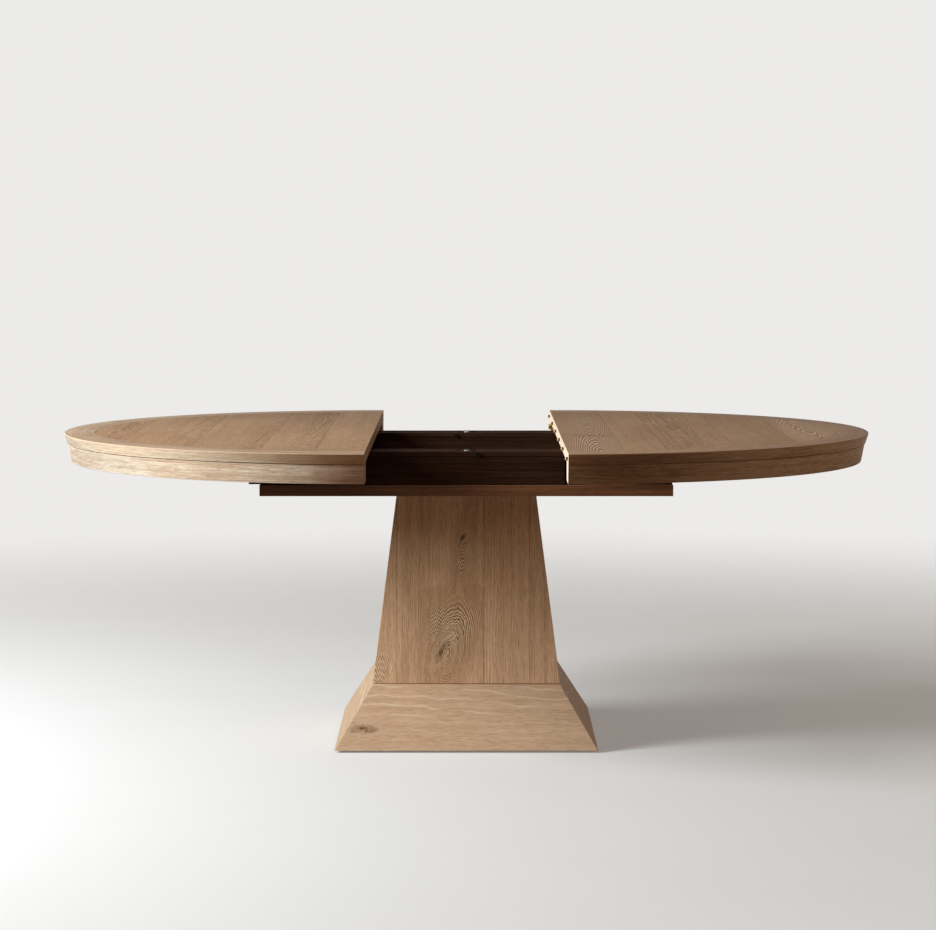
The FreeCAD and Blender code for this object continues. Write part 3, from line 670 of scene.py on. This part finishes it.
topLook = {
    "edgeTaper": 17.0,
    "easing": 0.00046,  # what the eased edge takes off the sharp one
    "arris": 0.0024,
    "arrisBlunt": (0.0002, 0.0001),
    "arrisSteps": 5,
    "lip": 0.0006,
    "joint": 0.0007,
    "jointDepth": 0.00112,
    "jointGap": 0.0001,
    "revealHeight": 0.0016,
    "revealDepth": 0.0025,
    "quarterSteps": 96,
    "fieldSteps": 144,
    "hair": 0.003,  # degrees left open where two quarters meet
    "sheen": 0.03,
    "pinCount": 6,
    "pinClearance": 0.0002,
    "drillMouth": 0.001,
    "drillSides": 40,
    "borderCut": {"pith": 0.3, "depth": 0.05},
    "seed": 41,
    # The left half's cut ends in painted shade.
    "endTone": {"left": "brownEnd", "right": "paleEnd"},
    "seams": {"left": [-0.800, -0.628, -0.464, -0.338], "right": [0.352, 0.451, 0.612, 0.765]},
    "figure": {
        "left": {},
        "right": {
            0: {"pith": 0.012, "depth": 0.045, "tilt": 0.06, "middle": -0.2},
            4: {"pith": -0.006, "depth": -0.03, "tilt": 0.07, "middle": -0.09},
        },
    },
    "fieldOak": {
        **tones((179, 144, 110), (152, 116, 84), (112, 80, 54)),
        "Fleck": paint(226, 206, 180),
        "Ring spacing": 0.0042,
        "Ring strength": 0.26,
        "Fibre strength": 0.8,
        "Fleck strength": 0.36,
        "Lime strength": 0.6,
        "Tone spread": 0.06,
        "Plain roughness": 0.62,
    },
    # Painted shade: the field darker towards the back, the left one more so.
    "fieldPaintedShade": {
        "left": paintShadeTo("Far shade", (0.76, 0.78, 0.82), 0.0, 0.65),
        "right": paintShadeTo("Far shade", (0.86, 0.89, 0.90), 0.25, 0.6),
    },
    "borderOak": {
        "Fibre strength": 1.4,
        "Ring strength": 0.6,
        "Fleck strength": 0.2,
        "Tone spread": 0.05,
    },
    # Tones of the four quarters; the right ones darker as painted shade on the half turned from the light.
    "borderTones": {
        "leftFront": tones((194, 168, 142), (157, 126, 97), (112, 79, 53)),
        "leftBack": tones((186, 160, 132), (150, 121, 93), (108, 78, 52)),
        "rightFront": tones((182, 146, 111), (148, 111, 79), (104, 72, 47)),
        "rightBack": tones((182, 146, 111), (148, 111, 79), (104, 72, 47)),
    },
    # Painted shade: the left border a little warmer near the split, the right border darker towards its far
    # end.
    "borderShift": {
        "left": paintShadeTo("Split", (1.0, 0.94, 0.93), 0.4, 0.1),
        "right": paintShadeTo("Far shade", (0.82, 0.82, 0.82), 0.15, 0.5),
    },
    # The edge oak in a paler copy for the lit left half and a darker copy for the shaded right half: painted
    # light and shade.
    "lippingTones": {
        "left": tones((218, 201, 176), (177, 151, 121), (126, 95, 67)),
        "right": tones((190, 159, 128), (155, 121, 91), (109, 79, 55)),
    },
    # Painted shade: the edges much darker and warmer near the split; the left edge also darker at its far
    # end.
    "lippingPaintedShade": {
        "left": {
            **paintShadeTo("Split", (0.60, 0.38, 0.25), 0.30, 0.0),
            **paintShadeTo("Far shade", (0.62, 0.62, 0.64), 0.6, 1.0),
        },
        "right": paintShadeTo("Split", (0.58, 0.46, 0.40), 0.55, 0.08),
    },
}

outwards = {"left": -1, "right": 1}
fieldLow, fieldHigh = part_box("right_field_panel")
topLevel, topUnder = fieldHigh[2], fieldLow[2]
halfGap, fieldRadius = fieldLow[0], fieldHigh[1]
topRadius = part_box("right_front_border")[1][0] - halfGap + topLook["easing"]


def edgeRadius(z):
    return topRadius - (topLevel - z) * math.tan(math.radians(topLook["edgeTaper"]))


def softCorner(start, corner, end, steps):
    # Points of a soft corner between two points, without the last one.
    points = []
    for step in range(steps):
        t = step / steps
        bend = zip(start, corner, end)
        points.append(tuple(a * (1 - t) ** 2 + 2 * b * t * (1 - t) + c * t * t for a, b, c in bend))
    return points


def borderSection():
    arris, lip = topLook["arris"], topLook["lip"]
    inner = fieldRadius + topLook["jointGap"]
    revealTop = topUnder + topLook["revealHeight"]
    revealRadius = edgeRadius(revealTop)
    back = revealRadius - topLook["revealDepth"]
    low = (edgeRadius(topLevel - arris), topLevel - arris)
    high = (topRadius - arris, topLevel)
    section = [
        (inner, topUnder, facePlace),
        (back, topUnder, jointPlace),
        (back, revealTop, jointPlace),
        (revealRadius - lip, revealTop, wornAndHighlightPlace),
        (edgeRadius(revealTop + lip), revealTop + lip, lippingPlace),
    ]
    blunt = (topRadius - topLook["arrisBlunt"][0], topLevel - topLook["arrisBlunt"][1])
    # The arris rounded in the worn material: paler as wear and as a painted highlight.
    for radius, z in softCorner(low, blunt, high, topLook["arrisSteps"]):
        section.append((radius, z, wornAndHighlightPlace))
    section.append((*high, facePlace))
    section.append((fieldRadius + topLook["joint"], topLevel, jointPlace))
    section.append((inner, topLevel - topLook["jointDepth"], facePlace))
    return section


def fieldSection():
    outer = fieldRadius - topLook["jointGap"]
    return [
        (0.0, topUnder, facePlace),
        (outer, topUnder, facePlace),
        (outer, topLevel - topLook["jointDepth"], jointPlace),
        (fieldRadius - topLook["joint"], topLevel, facePlace),
        (0.0, topLevel, facePlace),
    ]


def pinDrills(side):
    # One drill for each hole in a split face: for the bushes on the left, for the glued pins on the right.
    low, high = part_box({"left": "left_pin_bushes", "right": "right_pins"}[side])
    radius = (high[2] - low[2]) / 2
    reach = high[1] - radius
    mouth = topLook["drillMouth"]
    depth = max(abs(low[0]), abs(high[0])) - halfGap + topLook["pinClearance"]
    middle = outwards[side] * (halfGap + (depth - mouth) / 2)
    size = radius + topLook["pinClearance"]
    drills = bmesh.new()
    for number in range(topLook["pinCount"]):
        y = reach * (2 * number / (topLook["pinCount"] - 1) - 1)
        place = Matrix.Translation((middle, y, (low[2] + high[2]) / 2)) @ Matrix.Rotation(math.pi / 2, 4, "Y")
        bmesh.ops.create_cone(
            drills,
            cap_ends=True,
            segments=topLook["drillSides"],
            radius1=size,
            radius2=size,
            depth=depth + mouth,
            matrix=place,
        )
    for face in drills.faces:
        face.material_index = cutPlace
    data = bpy.data.meshes.new("pinDrills")
    drills.to_mesh(data)
    drills.free()
    return data


def drillPins(piece, side):
    tool = bpy.data.objects.new("pinDrills", pinDrills(side))
    bpy.context.scene.collection.objects.link(tool)
    cutter = piece.modifiers.new("pinHoles", "BOOLEAN")
    cutter.operation = "DIFFERENCE"
    cutter.solver = "EXACT"
    cutter.object = tool
    state = bpy.context.evaluated_depsgraph_get()
    shown = piece.evaluated_get(state)
    drilled = bpy.data.meshes.new_from_object(shown, preserve_all_data_layers=True, depsgraph=state)
    drilled.set_sharp_from_angle(angle=sharpAngle)
    piece.modifiers.remove(cutter)
    undrilled, piece.data = piece.data, drilled
    spent = [undrilled, tool.data]
    bpy.data.objects.remove(tool)
    for data in spent:
        bpy.data.meshes.remove(data)


def quarterRing(section, side, end, leaf):
    # A quarter of a ring, swept from the split face outwards.
    way = outwards[side]
    start = -90 if end == "front" else 90
    angle = (90 - topLook["hair"]) * (way if end == "front" else -way)
    shape = Shape()
    shape.sweep(section, way * halfGap, start, angle, topLook["quarterSteps"], leaf)
    return shape


def borderOak(side, end):
    # Border oak, with the lipping on its edge as a fifth material.
    quarter = side + end.capitalize()
    plain = {**topLook["borderOak"], **topLook["borderTones"][quarter], **topLook["borderShift"][side]}
    lipping = {**topLook["borderOak"], **topLook["lippingTones"][side], **topLook["lippingPaintedShade"][side]}
    materials = oakSet(quarter + "BorderOak", plain, topLook["sheen"], topLook["endTone"][side])
    return [*materials, surface(quarter + "LippingOak", "oak", lipping, specular=topLook["sheen"])]


def layField(side, dice):
    way = outwards[side]
    middle = way * halfGap
    seams = topLook["seams"][side]
    shape = Shape()
    shape.sweep(fieldSection(), middle, -90 * way, 180, topLook["fieldSteps"], newLeaf(dice))
    low, high = sorted((middle, middle + way * fieldRadius))
    leaves = leavesBetween(dice, seams, low, high, topLook["figure"][side])
    shape.layLeaves(Vector((0, 1, 0)), Vector((1, 0, 0)), upright, seams, leaves)
    settings = {**topLook["fieldOak"], **topLook["fieldPaintedShade"][side]}
    oak = oakSet(side + "FieldOak", settings, topLook["sheen"], topLook["endTone"][side])
    piece = shape.finish(side + "FieldPanel", side + "_half", side + "_field_panel", "oak_top", oak)
    drillPins(piece, side)


def layBorder(side, end, dice):
    shape = quarterRing(borderSection(), side, end, newLeaf(dice, **topLook["borderCut"]))
    name = side + end.capitalize() + "Border"
    node = side + "_" + end + "_border"
    piece = shape.finish(name, side + "_half", node, "oak_top", borderOak(side, end))
    drillPins(piece, side)


topDice = random.Random(topLook["seed"])
for side in outwards:
    layField(side, topDice)
    for end in ("front", "back"):
        layBorder(side, end, topDice)
print("stage: top laid")

# Apron

apronLook = {
    "width": 0.108,
    "taper": 11.5,
    "corner": 0.0015,
    "cornerSteps": 4,
    "topCorner": 0.0006,
    "cut": {"pith": 0.25, "depth": 0.06},
    "oak": {
        "Fleck strength": 0.15,
        "Tone spread": 0.08,
        "Ring strength": 0.6,
        "Fibre strength": 1.8,
        "Pore strength": 0.8,
    },
    # A paler copy for the lit left half and a darker one for the shaded right half: painted light and shade.
    "tones": {
        "left": tones((238, 221, 197), (192, 164, 135), (137, 106, 78)),
        "right": tones((188, 157, 128), (151, 118, 91), (106, 77, 55)),
    },
    # Painted shade: the aprons darker and warmer near the split; the left one also darker towards its far
    # end.
    "paintedShade": {
        "left": {
            **paintShadeTo("Split", (0.56, 0.40, 0.36), 0.20, 0.0),
            **paintShadeTo("Far shade", (0.60, 0.60, 0.60), 0.35, 0.8),
        },
        "right": paintShadeTo("Split", (0.65, 0.55, 0.45), 0.60, 0.08),
    },
}


def apronSection():
    apronLow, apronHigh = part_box("right_front_apron")
    under, top = apronLow[2], apronHigh[2]
    outer = apronHigh[0] - halfGap
    inner = outer - apronLook["width"]
    slope = math.tan(math.radians(apronLook["taper"]))
    low = outer - (top - under) * slope
    corner, topCorner = apronLook["corner"], apronLook["topCorner"]
    above = (low + corner * slope, under + corner)
    section = [(inner, under, facePlace)]
    # Corners in the worn material, paler as wear and as a painted highlight.
    for radius, z in softCorner((low - corner, under), (low, under), above, apronLook["cornerSteps"]):
        section.append((radius, z, wornAndHighlightPlace))
    section.append((*above, facePlace))
    section.append((outer - topCorner, top - topCorner, wornAndHighlightPlace))
    section.append((outer - 2 * topCorner, top, facePlace))
    section.append((inner, top, facePlace))
    return section


for side in outwards:
    settings = {**apronLook["oak"], **apronLook["tones"][side], **apronLook["paintedShade"][side]}
    apronOak = oakSet(side + "ApronOak", settings, endTone=topLook["endTone"][side])
    for end in ("front", "back"):
        shape = quarterRing(apronSection(), side, end, newLeaf(topDice, **apronLook["cut"]))
        node = side + "_" + end + "_apron"
        shape.finish(side + end.capitalize() + "Apron", side + "_half", node, "oak_top", apronOak)
print("stage: apron fitted")

# Pedestal

pedestalLook = {
    "easedEdge": 0.0008,
    "shadowLine": 0.0020,
    "shadowDepth": 0.0015,
    "shadowWall": 0.012,
    "frontSeams": [-0.168, -0.111, 0.042, 0.152],
    "otherSeams": [(-0.14, -0.1), (-0.03, 0.03), (0.1, 0.14)],
    "frontFigure": {
        0: {"pith": -0.050, "depth": 0.0, "tilt": 0.36, "middle": 0.230},
        2: {"pith": 0.0145, "depth": 0.076, "tilt": 0.45, "middle": 0.376},
        4: {"pith": 0.2, "depth": 0.1, "tilt": 0.0},
    },
    "knotLean": 0.5,
    "columnKnots": {"First knot": (0.497, -0.010, 0.0055), "Second knot": (0.228, -0.058, 0.0092)},
    "plinthKnot": (-0.248, -0.030, 0.0120),
    "plinthCut": {"pith": 0.25, "depth": 0.08, "tilt": 0.01},
    "seed": 77,
    "columnOak": {
        **tones((240, 199, 160), (202, 159, 120), (100, 58, 33)),
        "Pore": paint(102, 66, 40),
        "Fleck": paint(255, 224, 184),
        "Ring spacing": 0.0036,
        "Ring strength": 0.9,
        "Pore strength": 0.65,
        "Fleck strength": 0.1,
        "Lime strength": 1.0,
        "Tone spread": 0.05,
    },
    "plainRings": 0.45,
    "plinthOak": {
        **tones((212, 180, 148), (194, 159, 126), (146, 111, 80)),
        "Fleck": paint(222, 198, 168),
        "Ring strength": 0.35,
        "Fleck strength": 0.15,
        "Wave strength": 0.65,
        "Tone spread": 0.05,
    },
    # Painted light and shade for each side of the plinth: the left panel, turned to the light, much darker,
    # the front a little lighter.
    "plinthShade": {"front": 1.02, "right": 0.95, "back": 1.0, "left": 0.64},
}

plinthLow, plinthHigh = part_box("plinth_front_panel")
columnLow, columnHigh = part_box("column_front_panel")
foot, waist, head = plinthLow[2], columnLow[2], columnHigh[2]
footHalf, waistHalf = plinthHigh[0], columnHigh[0]
plinthWall = waistHalf + plinthHigh[1]
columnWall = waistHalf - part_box("column_foot_board")[1][0]
headHalf = columnWall - columnHigh[1]


def turned(x, y, quarter):
    # A place on the front, turned to another side of the pedestal.
    for turn in range(quarter):
        x, y = -y, x
    return x, y


def panelOutlines(quarter, lowHalf, highHalf, wall, low, high):
    # Corners of one mitred panel of a square shell.
    outlines = []
    for half, z in ((lowHalf, low), (highHalf, high)):
        inner = half - wall
        corners = ((-half, -half), (half, -half), (inner, -inner), (-inner, -inner))
        outlines.append([(*turned(x, y, quarter), z) for x, y in corners])
    return outlines


def shade(settings, amount):
    # The same oak, lighter or darker: painted light and shade for one side of the plinth.
    toned = dict(settings)
    for label in ("Pale", "Mid", "Dark"):
        toned[label] = (*[min(part * amount, 1.0) for part in settings[label][:3]], 1.0)
    return toned


def cladColumn(quarter, side, across, outward, dice):
    # Grain upright, in several leaves, above a shadow line.
    line = pedestalLook["shadowLine"]
    taper = (waistHalf - headHalf) / (head - waist)
    lowHalf = waistHalf - line * taper
    shadowHalf = lowHalf - pedestalLook["shadowDepth"]
    shape = Shape()
    shape.prism(*panelOutlines(quarter, lowHalf, headHalf, columnWall, waist + line, head))
    shadow = panelOutlines(quarter, shadowHalf, shadowHalf, pedestalLook["shadowWall"], waist, waist + line)
    shape.prism(*shadow, jointPlace)
    seams, figure = pedestalLook["frontSeams"], pedestalLook["frontFigure"]
    if side != "front":
        seams = [dice.uniform(*reach) for reach in pedestalLook["otherSeams"]]
        figure = {}
    leaves = leavesBetween(dice, seams, -waistHalf, waistHalf, figure)
    shape.layLeaves(upright, across, (outward + upright * taper).normalized(), seams, leaves)
    settings = dict(pedestalLook["columnOak"])
    if side == "front":
        settings["Knot lean"] = pedestalLook["knotLean"]
        middleLeaf = leaves[2]
        for name, (z, x, size) in pedestalLook["columnKnots"].items():
            settings[name] = (z, middleLeaf["number"] + 0.5 - middleLeaf["centre"] + x, size)
    else:
        settings["Ring strength"] = pedestalLook["plainRings"]
    name = "column" + side.capitalize()
    oak = oakSet(name + "Oak", settings)
    piece = shape.finish(name, "pedestal", "column_" + side + "_panel", "oak_pedestal", oak)
    easeEdges(piece, pedestalLook["easedEdge"])


def cladPlinth(quarter, side, across, outward, dice):
    # Grain level, one leaf.
    shape = Shape()
    shape.prism(*panelOutlines(quarter, footHalf, waistHalf, plinthWall, foot, waist))
    flare = (footHalf - waistHalf) / (waist - foot)
    upSlope = (upright - outward * flare).normalized()
    slopeLength = math.hypot(waist - foot, footHalf - waistHalf)
    centre = (outward * footHalf + upright * foot).dot(upSlope) + slopeLength / 2
    leaf = newLeaf(dice, centre, **pedestalLook["plinthCut"])
    shape.layLeaves(across, upSlope, (outward + upright * flare).normalized(), [], [leaf])
    # This side's painted light and shade.
    settings = shade(pedestalLook["plinthOak"], pedestalLook["plinthShade"][side])
    if side == "front":
        x, rise, size = pedestalLook["plinthKnot"]
        settings["First knot"] = (x, leaf["number"] + 0.5 + rise, size)
    name = "plinth" + side.capitalize()
    oak = oakSet(name + "Oak", settings)
    piece = shape.finish(name, "pedestal", "plinth_" + side + "_panel", "oak_pedestal", oak)
    easeEdges(piece, pedestalLook["easedEdge"])


pedestalDice = random.Random(pedestalLook["seed"])
for quarter, side in enumerate(("front", "right", "back", "left")):
    across = Vector((*turned(1, 0, quarter), 0))
    outward = Vector((*turned(0, -1, quarter), 0))
    cladColumn(quarter, side, across, outward, pedestalDice)
    cladPlinth(quarter, side, across, outward, pedestalDice)
print("stage: pedestal clad")

# Finishes of the carried-over pieces

hiddenLook = {
    "slideStain": {
        "Light": paint(66, 44, 31),
        "Deep": paint(36, 22, 14),
        "Pore": paint(14, 8, 5),
        "Plain roughness": 0.55,
    },
    "slideSheen": 0.001,
    "slideWorn": paint(72, 50, 35),
    "platformStain": {
        "Light": paint(158, 105, 69),
        "Deep": paint(103, 64, 39),
        "Pore": paint(44, 25, 14),
        # Painted shade: the platform half as bright except towards its right end, which lies out of the top's
        # shadow.
        **paintShadeTo("Far shade", (0.5, 0.5, 0.5), 0.30, -0.05),
        "Plain roughness": 0.55,
    },
    "platformSheen": plainSheen,
    "platformWorn": paint(177, 126, 91),
    "innerBoard": {
        "Light": paint(196, 170, 134),
        "Deep": paint(168, 138, 102),
        "Pore": paint(120, 92, 62),
        "Plain roughness": 0.65,
    },
    # The pins stained dark as painted shade on their sides; their tips pale as a painted highlight.
    "pin": {
        "Light": paint(118, 84, 57),
        "Deep": paint(74, 49, 32),
        "Pore": paint(46, 29, 18),
        "Plain roughness": 0.6,
    },
    "paintedTipLength": 0.002,
    "stainWear": 0.8,
    "gearSteel": {"Bright": paint(38, 31, 26), "Dull": paint(23, 18, 14), "Plain roughness": 0.5},
    "zincSteel": {"Bright": paint(206, 206, 204), "Dull": paint(150, 150, 148), "Plain roughness": 0.3},
    "brass": {"Bright": paint(178, 142, 72), "Dull": paint(122, 94, 44), "Plain roughness": 0.36},
    "gearSheen": 0.005,
    "metalBump": 0.0001,
    "footPlastic": {"Body": paint(34, 33, 32)},
    "plasticBump": 0.0002,
    "easedEdge": 0.0007,
    "weld": 0.00002,
}


def stainPair(kind):
    # Stained wood and its lighter worn edge.
    plain = hiddenLook[kind + "Stain"]
    worn = {**plain, "Wear and highlight": hiddenLook["stainWear"], "Light": hiddenLook[kind + "Worn"]}
    sheen = hiddenLook[kind + "Sheen"]
    return [
        surface(kind + "Stain", "stained", plain, specular=sheen),
        surface(kind + "StainWorn", "stained", worn, specular=sheen),
    ]


metalBump = hiddenLook["metalBump"]
# Pins with a painted highlight on their tips.
pinPaintedSettings = {**hiddenLook["pin"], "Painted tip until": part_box("right_pins")[0][0] + hiddenLook["paintedTipLength"]}
finishes = {
    "slide_wood": stainPair("slide"),
    "platform_wood": stainPair("platform"),
    "inner_wood": [surface("innerBoard", "stained", hiddenLook["innerBoard"])],
    "pin_wood": [surface("pin", "stained", pinPaintedSettings)],
    "gear_steel": [
        surface("gearSteel", "metal", hiddenLook["gearSteel"], 0.0, metalBump, hiddenLook["gearSheen"]),
    ],
    "zinc_steel": [surface("zincSteel", "metal", hiddenLook["zincSteel"], 1.0, metalBump)],
    "brass": [surface("brassPlate", "metal", hiddenLook["brass"], 1.0, metalBump)],
    "foot_plastic": [
        surface("footPlastic", "moulded", hiddenLook["footPlastic"], bump=hiddenLook["plasticBump"]),
    ],
}
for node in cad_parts.values():
    if node.hide_render:
        continue
    for place in node.material_slots:
        slotName = place.material.name.split(".")[0]
        place.material = finishes[slotName][0]
        if len(finishes[slotName]) > 1 and len(node.material_slots) == 1:
            node.data.materials.append(finishes[slotName][1])
            weld = node.modifiers.new("joinFaces", "WELD")
            weld.merge_threshold = hiddenLook["weld"]
            easeEdges(node, hiddenLook["easedEdge"])
print("stage: hardware finished")

# Floor, light and camera

studioLook = {
    "floor": paint(206, 205, 202),
    "floorRadius": 11.0,
    "floorSides": 96,
    "floorFade": (1.5, 5.0),
    "floorGlow": 0.26,
    "floorBounce": paint(116, 105, 94),
    "seeThrough": (0.03, 0.04),  # rays shorter than this pass through the floor
    "backdrop": paint(236, 235, 233),
    "fill": 0.12,
    "fillColour": (1.0, 0.62, 0.38, 1.0),
    "lamps": {
        "key": {
            "place": (-4.5, -1.25, 2.40),
            "target": (0.0, 0.0, 0.45),
            "size": 2.0,
            "power": 485.0,
            "colour": (0.91, 0.975, 1.03),
        },
        "front": {
            "place": (-0.6, -5.5, 3.8),
            "target": (0.0, 0.0, 0.4),
            "size": 3.0,
            "power": 28.0,
            "colour": (1.0, 0.98, 0.95),
        },
        "side": {
            "place": (4.2, -0.7, 0.9),
            "target": (0.0, 0.0, 0.4),
            "size": 3.0,
            "power": 22.0,
            "colour": (1.0, 0.80, 0.62),
        },
    },
    "cameraPlace": (0.0039, -7.1853, 1.2538),
    "cameraPitch": 0.0826,
    "lens": 112.81,
}


def seenRay(tree):
    # One for a ray that shows the floor or the backdrop, nought for a ray that only carries their light.
    path = tree.nodes.new("ShaderNodeLightPath")
    kinds = ("Is Camera Ray", "Is Glossy Ray", "Is Transmission Ray")
    straight, glossy, through = [Field(tree, path.outputs[kind]) for kind in kinds]
    return straight.most(glossy).most(through)


def floorSurface():
    material = bpy.data.materials.new("studioFloor")
    material.use_nodes = True
    tree = material.node_tree
    tree.nodes.clear()
    x, y, z = placeOnPiece(tree)
    grit = noise(tree, join(tree, x * 3.0, y * 3.0, 0.0), 4.0)
    shader = tree.nodes.new("ShaderNodeBsdfPrincipled")
    shader.inputs["Specular IOR Level"].default_value = 0.2
    tone = mix(tree, seenRay(tree), studioLook["floorBounce"], studioLook["floor"])
    feed(tree, shader.inputs["Base Color"], mix(tree, grit * 0.05, tone, studioLook["floorBounce"]))
    feed(tree, shader.inputs["Roughness"], grit * 0.1 + 0.6)
    # A little glow for the eye only keeps the shadow pale.
    shader.inputs["Emission Strength"].default_value = studioLook["floorGlow"]
    feed(tree, shader.inputs["Emission Color"], mix(tree, seenRay(tree), paint(0, 0, 0), studioLook["floor"]))
    # The floor fades out far away, is not seen from below and leaves some light to the underside of the foot.
    fade = (x * x + y * y).root().ramp(*studioLook["floorFade"]).inverse()
    below = Field(tree, tree.nodes.new("ShaderNodeNewGeometry").outputs["Backfacing"])
    rayLength = Field(tree, tree.nodes.new("ShaderNodeLightPath").outputs["Ray Length"])
    feed(tree, shader.inputs["Alpha"], fade * below.inverse() * rayLength.ramp(*studioLook["seeThrough"]))
    output = tree.nodes.new("ShaderNodeOutputMaterial")
    tree.links.new(shader.outputs["BSDF"], output.inputs["Surface"])
    return material


def buildFloor():
    shape = bmesh.new()
    sides, radius = studioLook["floorSides"], studioLook["floorRadius"]
    bmesh.ops.create_circle(shape, cap_ends=True, segments=sides, radius=radius)
    data = bpy.data.meshes.new("studioFloor")
    shape.to_mesh(data)
    shape.free()
    data.materials.append(floorSurface())
    floor = bpy.data.objects.new("studioFloor", data)
    bpy.context.scene.collection.objects.link(floor)


def buildSky():
    world = bpy.data.worlds.new("studio")
    bpy.context.scene.world = world
    world.use_nodes = True
    tree = world.node_tree
    tree.nodes.clear()
    fill = tree.nodes.new("ShaderNodeBackground")
    fill.inputs["Color"].default_value = studioLook["fillColour"]
    fill.inputs["Strength"].default_value = studioLook["fill"]
    shown = tree.nodes.new("ShaderNodeBackground")
    shown.inputs["Color"].default_value = studioLook["backdrop"]
    shown.inputs["Strength"].default_value = 1.0
    blend = tree.nodes.new("ShaderNodeMixShader")
    feed(tree, blend.inputs[0], seenRay(tree))
    tree.links.new(fill.outputs[0], blend.inputs[1])
    tree.links.new(shown.outputs[0], blend.inputs[2])
    output = tree.nodes.new("ShaderNodeOutputWorld")
    tree.links.new(blend.outputs[0], output.inputs["Surface"])


def addLamp(name, look):
    data = bpy.data.lights.new(name + "Lamp", "AREA")
    data.shape = "DISK"
    data.size = look["size"]
    data.energy = look["power"]
    data.color = look["colour"]
    lamp = bpy.data.objects.new(name + "Lamp", data)
    bpy.context.scene.collection.objects.link(lamp)
    lamp.location = look["place"]
    lamp.rotation_euler = (Vector(look["target"]) - lamp.location).to_track_quat("-Z", "Y").to_euler()


def placeCamera():
    view = bpy.data.cameras.new("photoView")
    view.lens = studioLook["lens"]
    view.sensor_width = 36.0
    view.dof.use_dof = False
    camera = bpy.data.objects.new("photoView", view)
    bpy.context.scene.collection.objects.link(camera)
    camera.location = studioLook["cameraPlace"]
    camera.rotation_euler = (math.pi / 2 - studioLook["cameraPitch"], 0.0, 0.0)
    bpy.context.scene.camera = camera


buildFloor()
buildSky()
for name, look in studioLook["lamps"].items():
    addLamp(name, look)
placeCamera()
bpy.context.scene.view_settings.view_transform = "Standard"
print("stage: studio set")
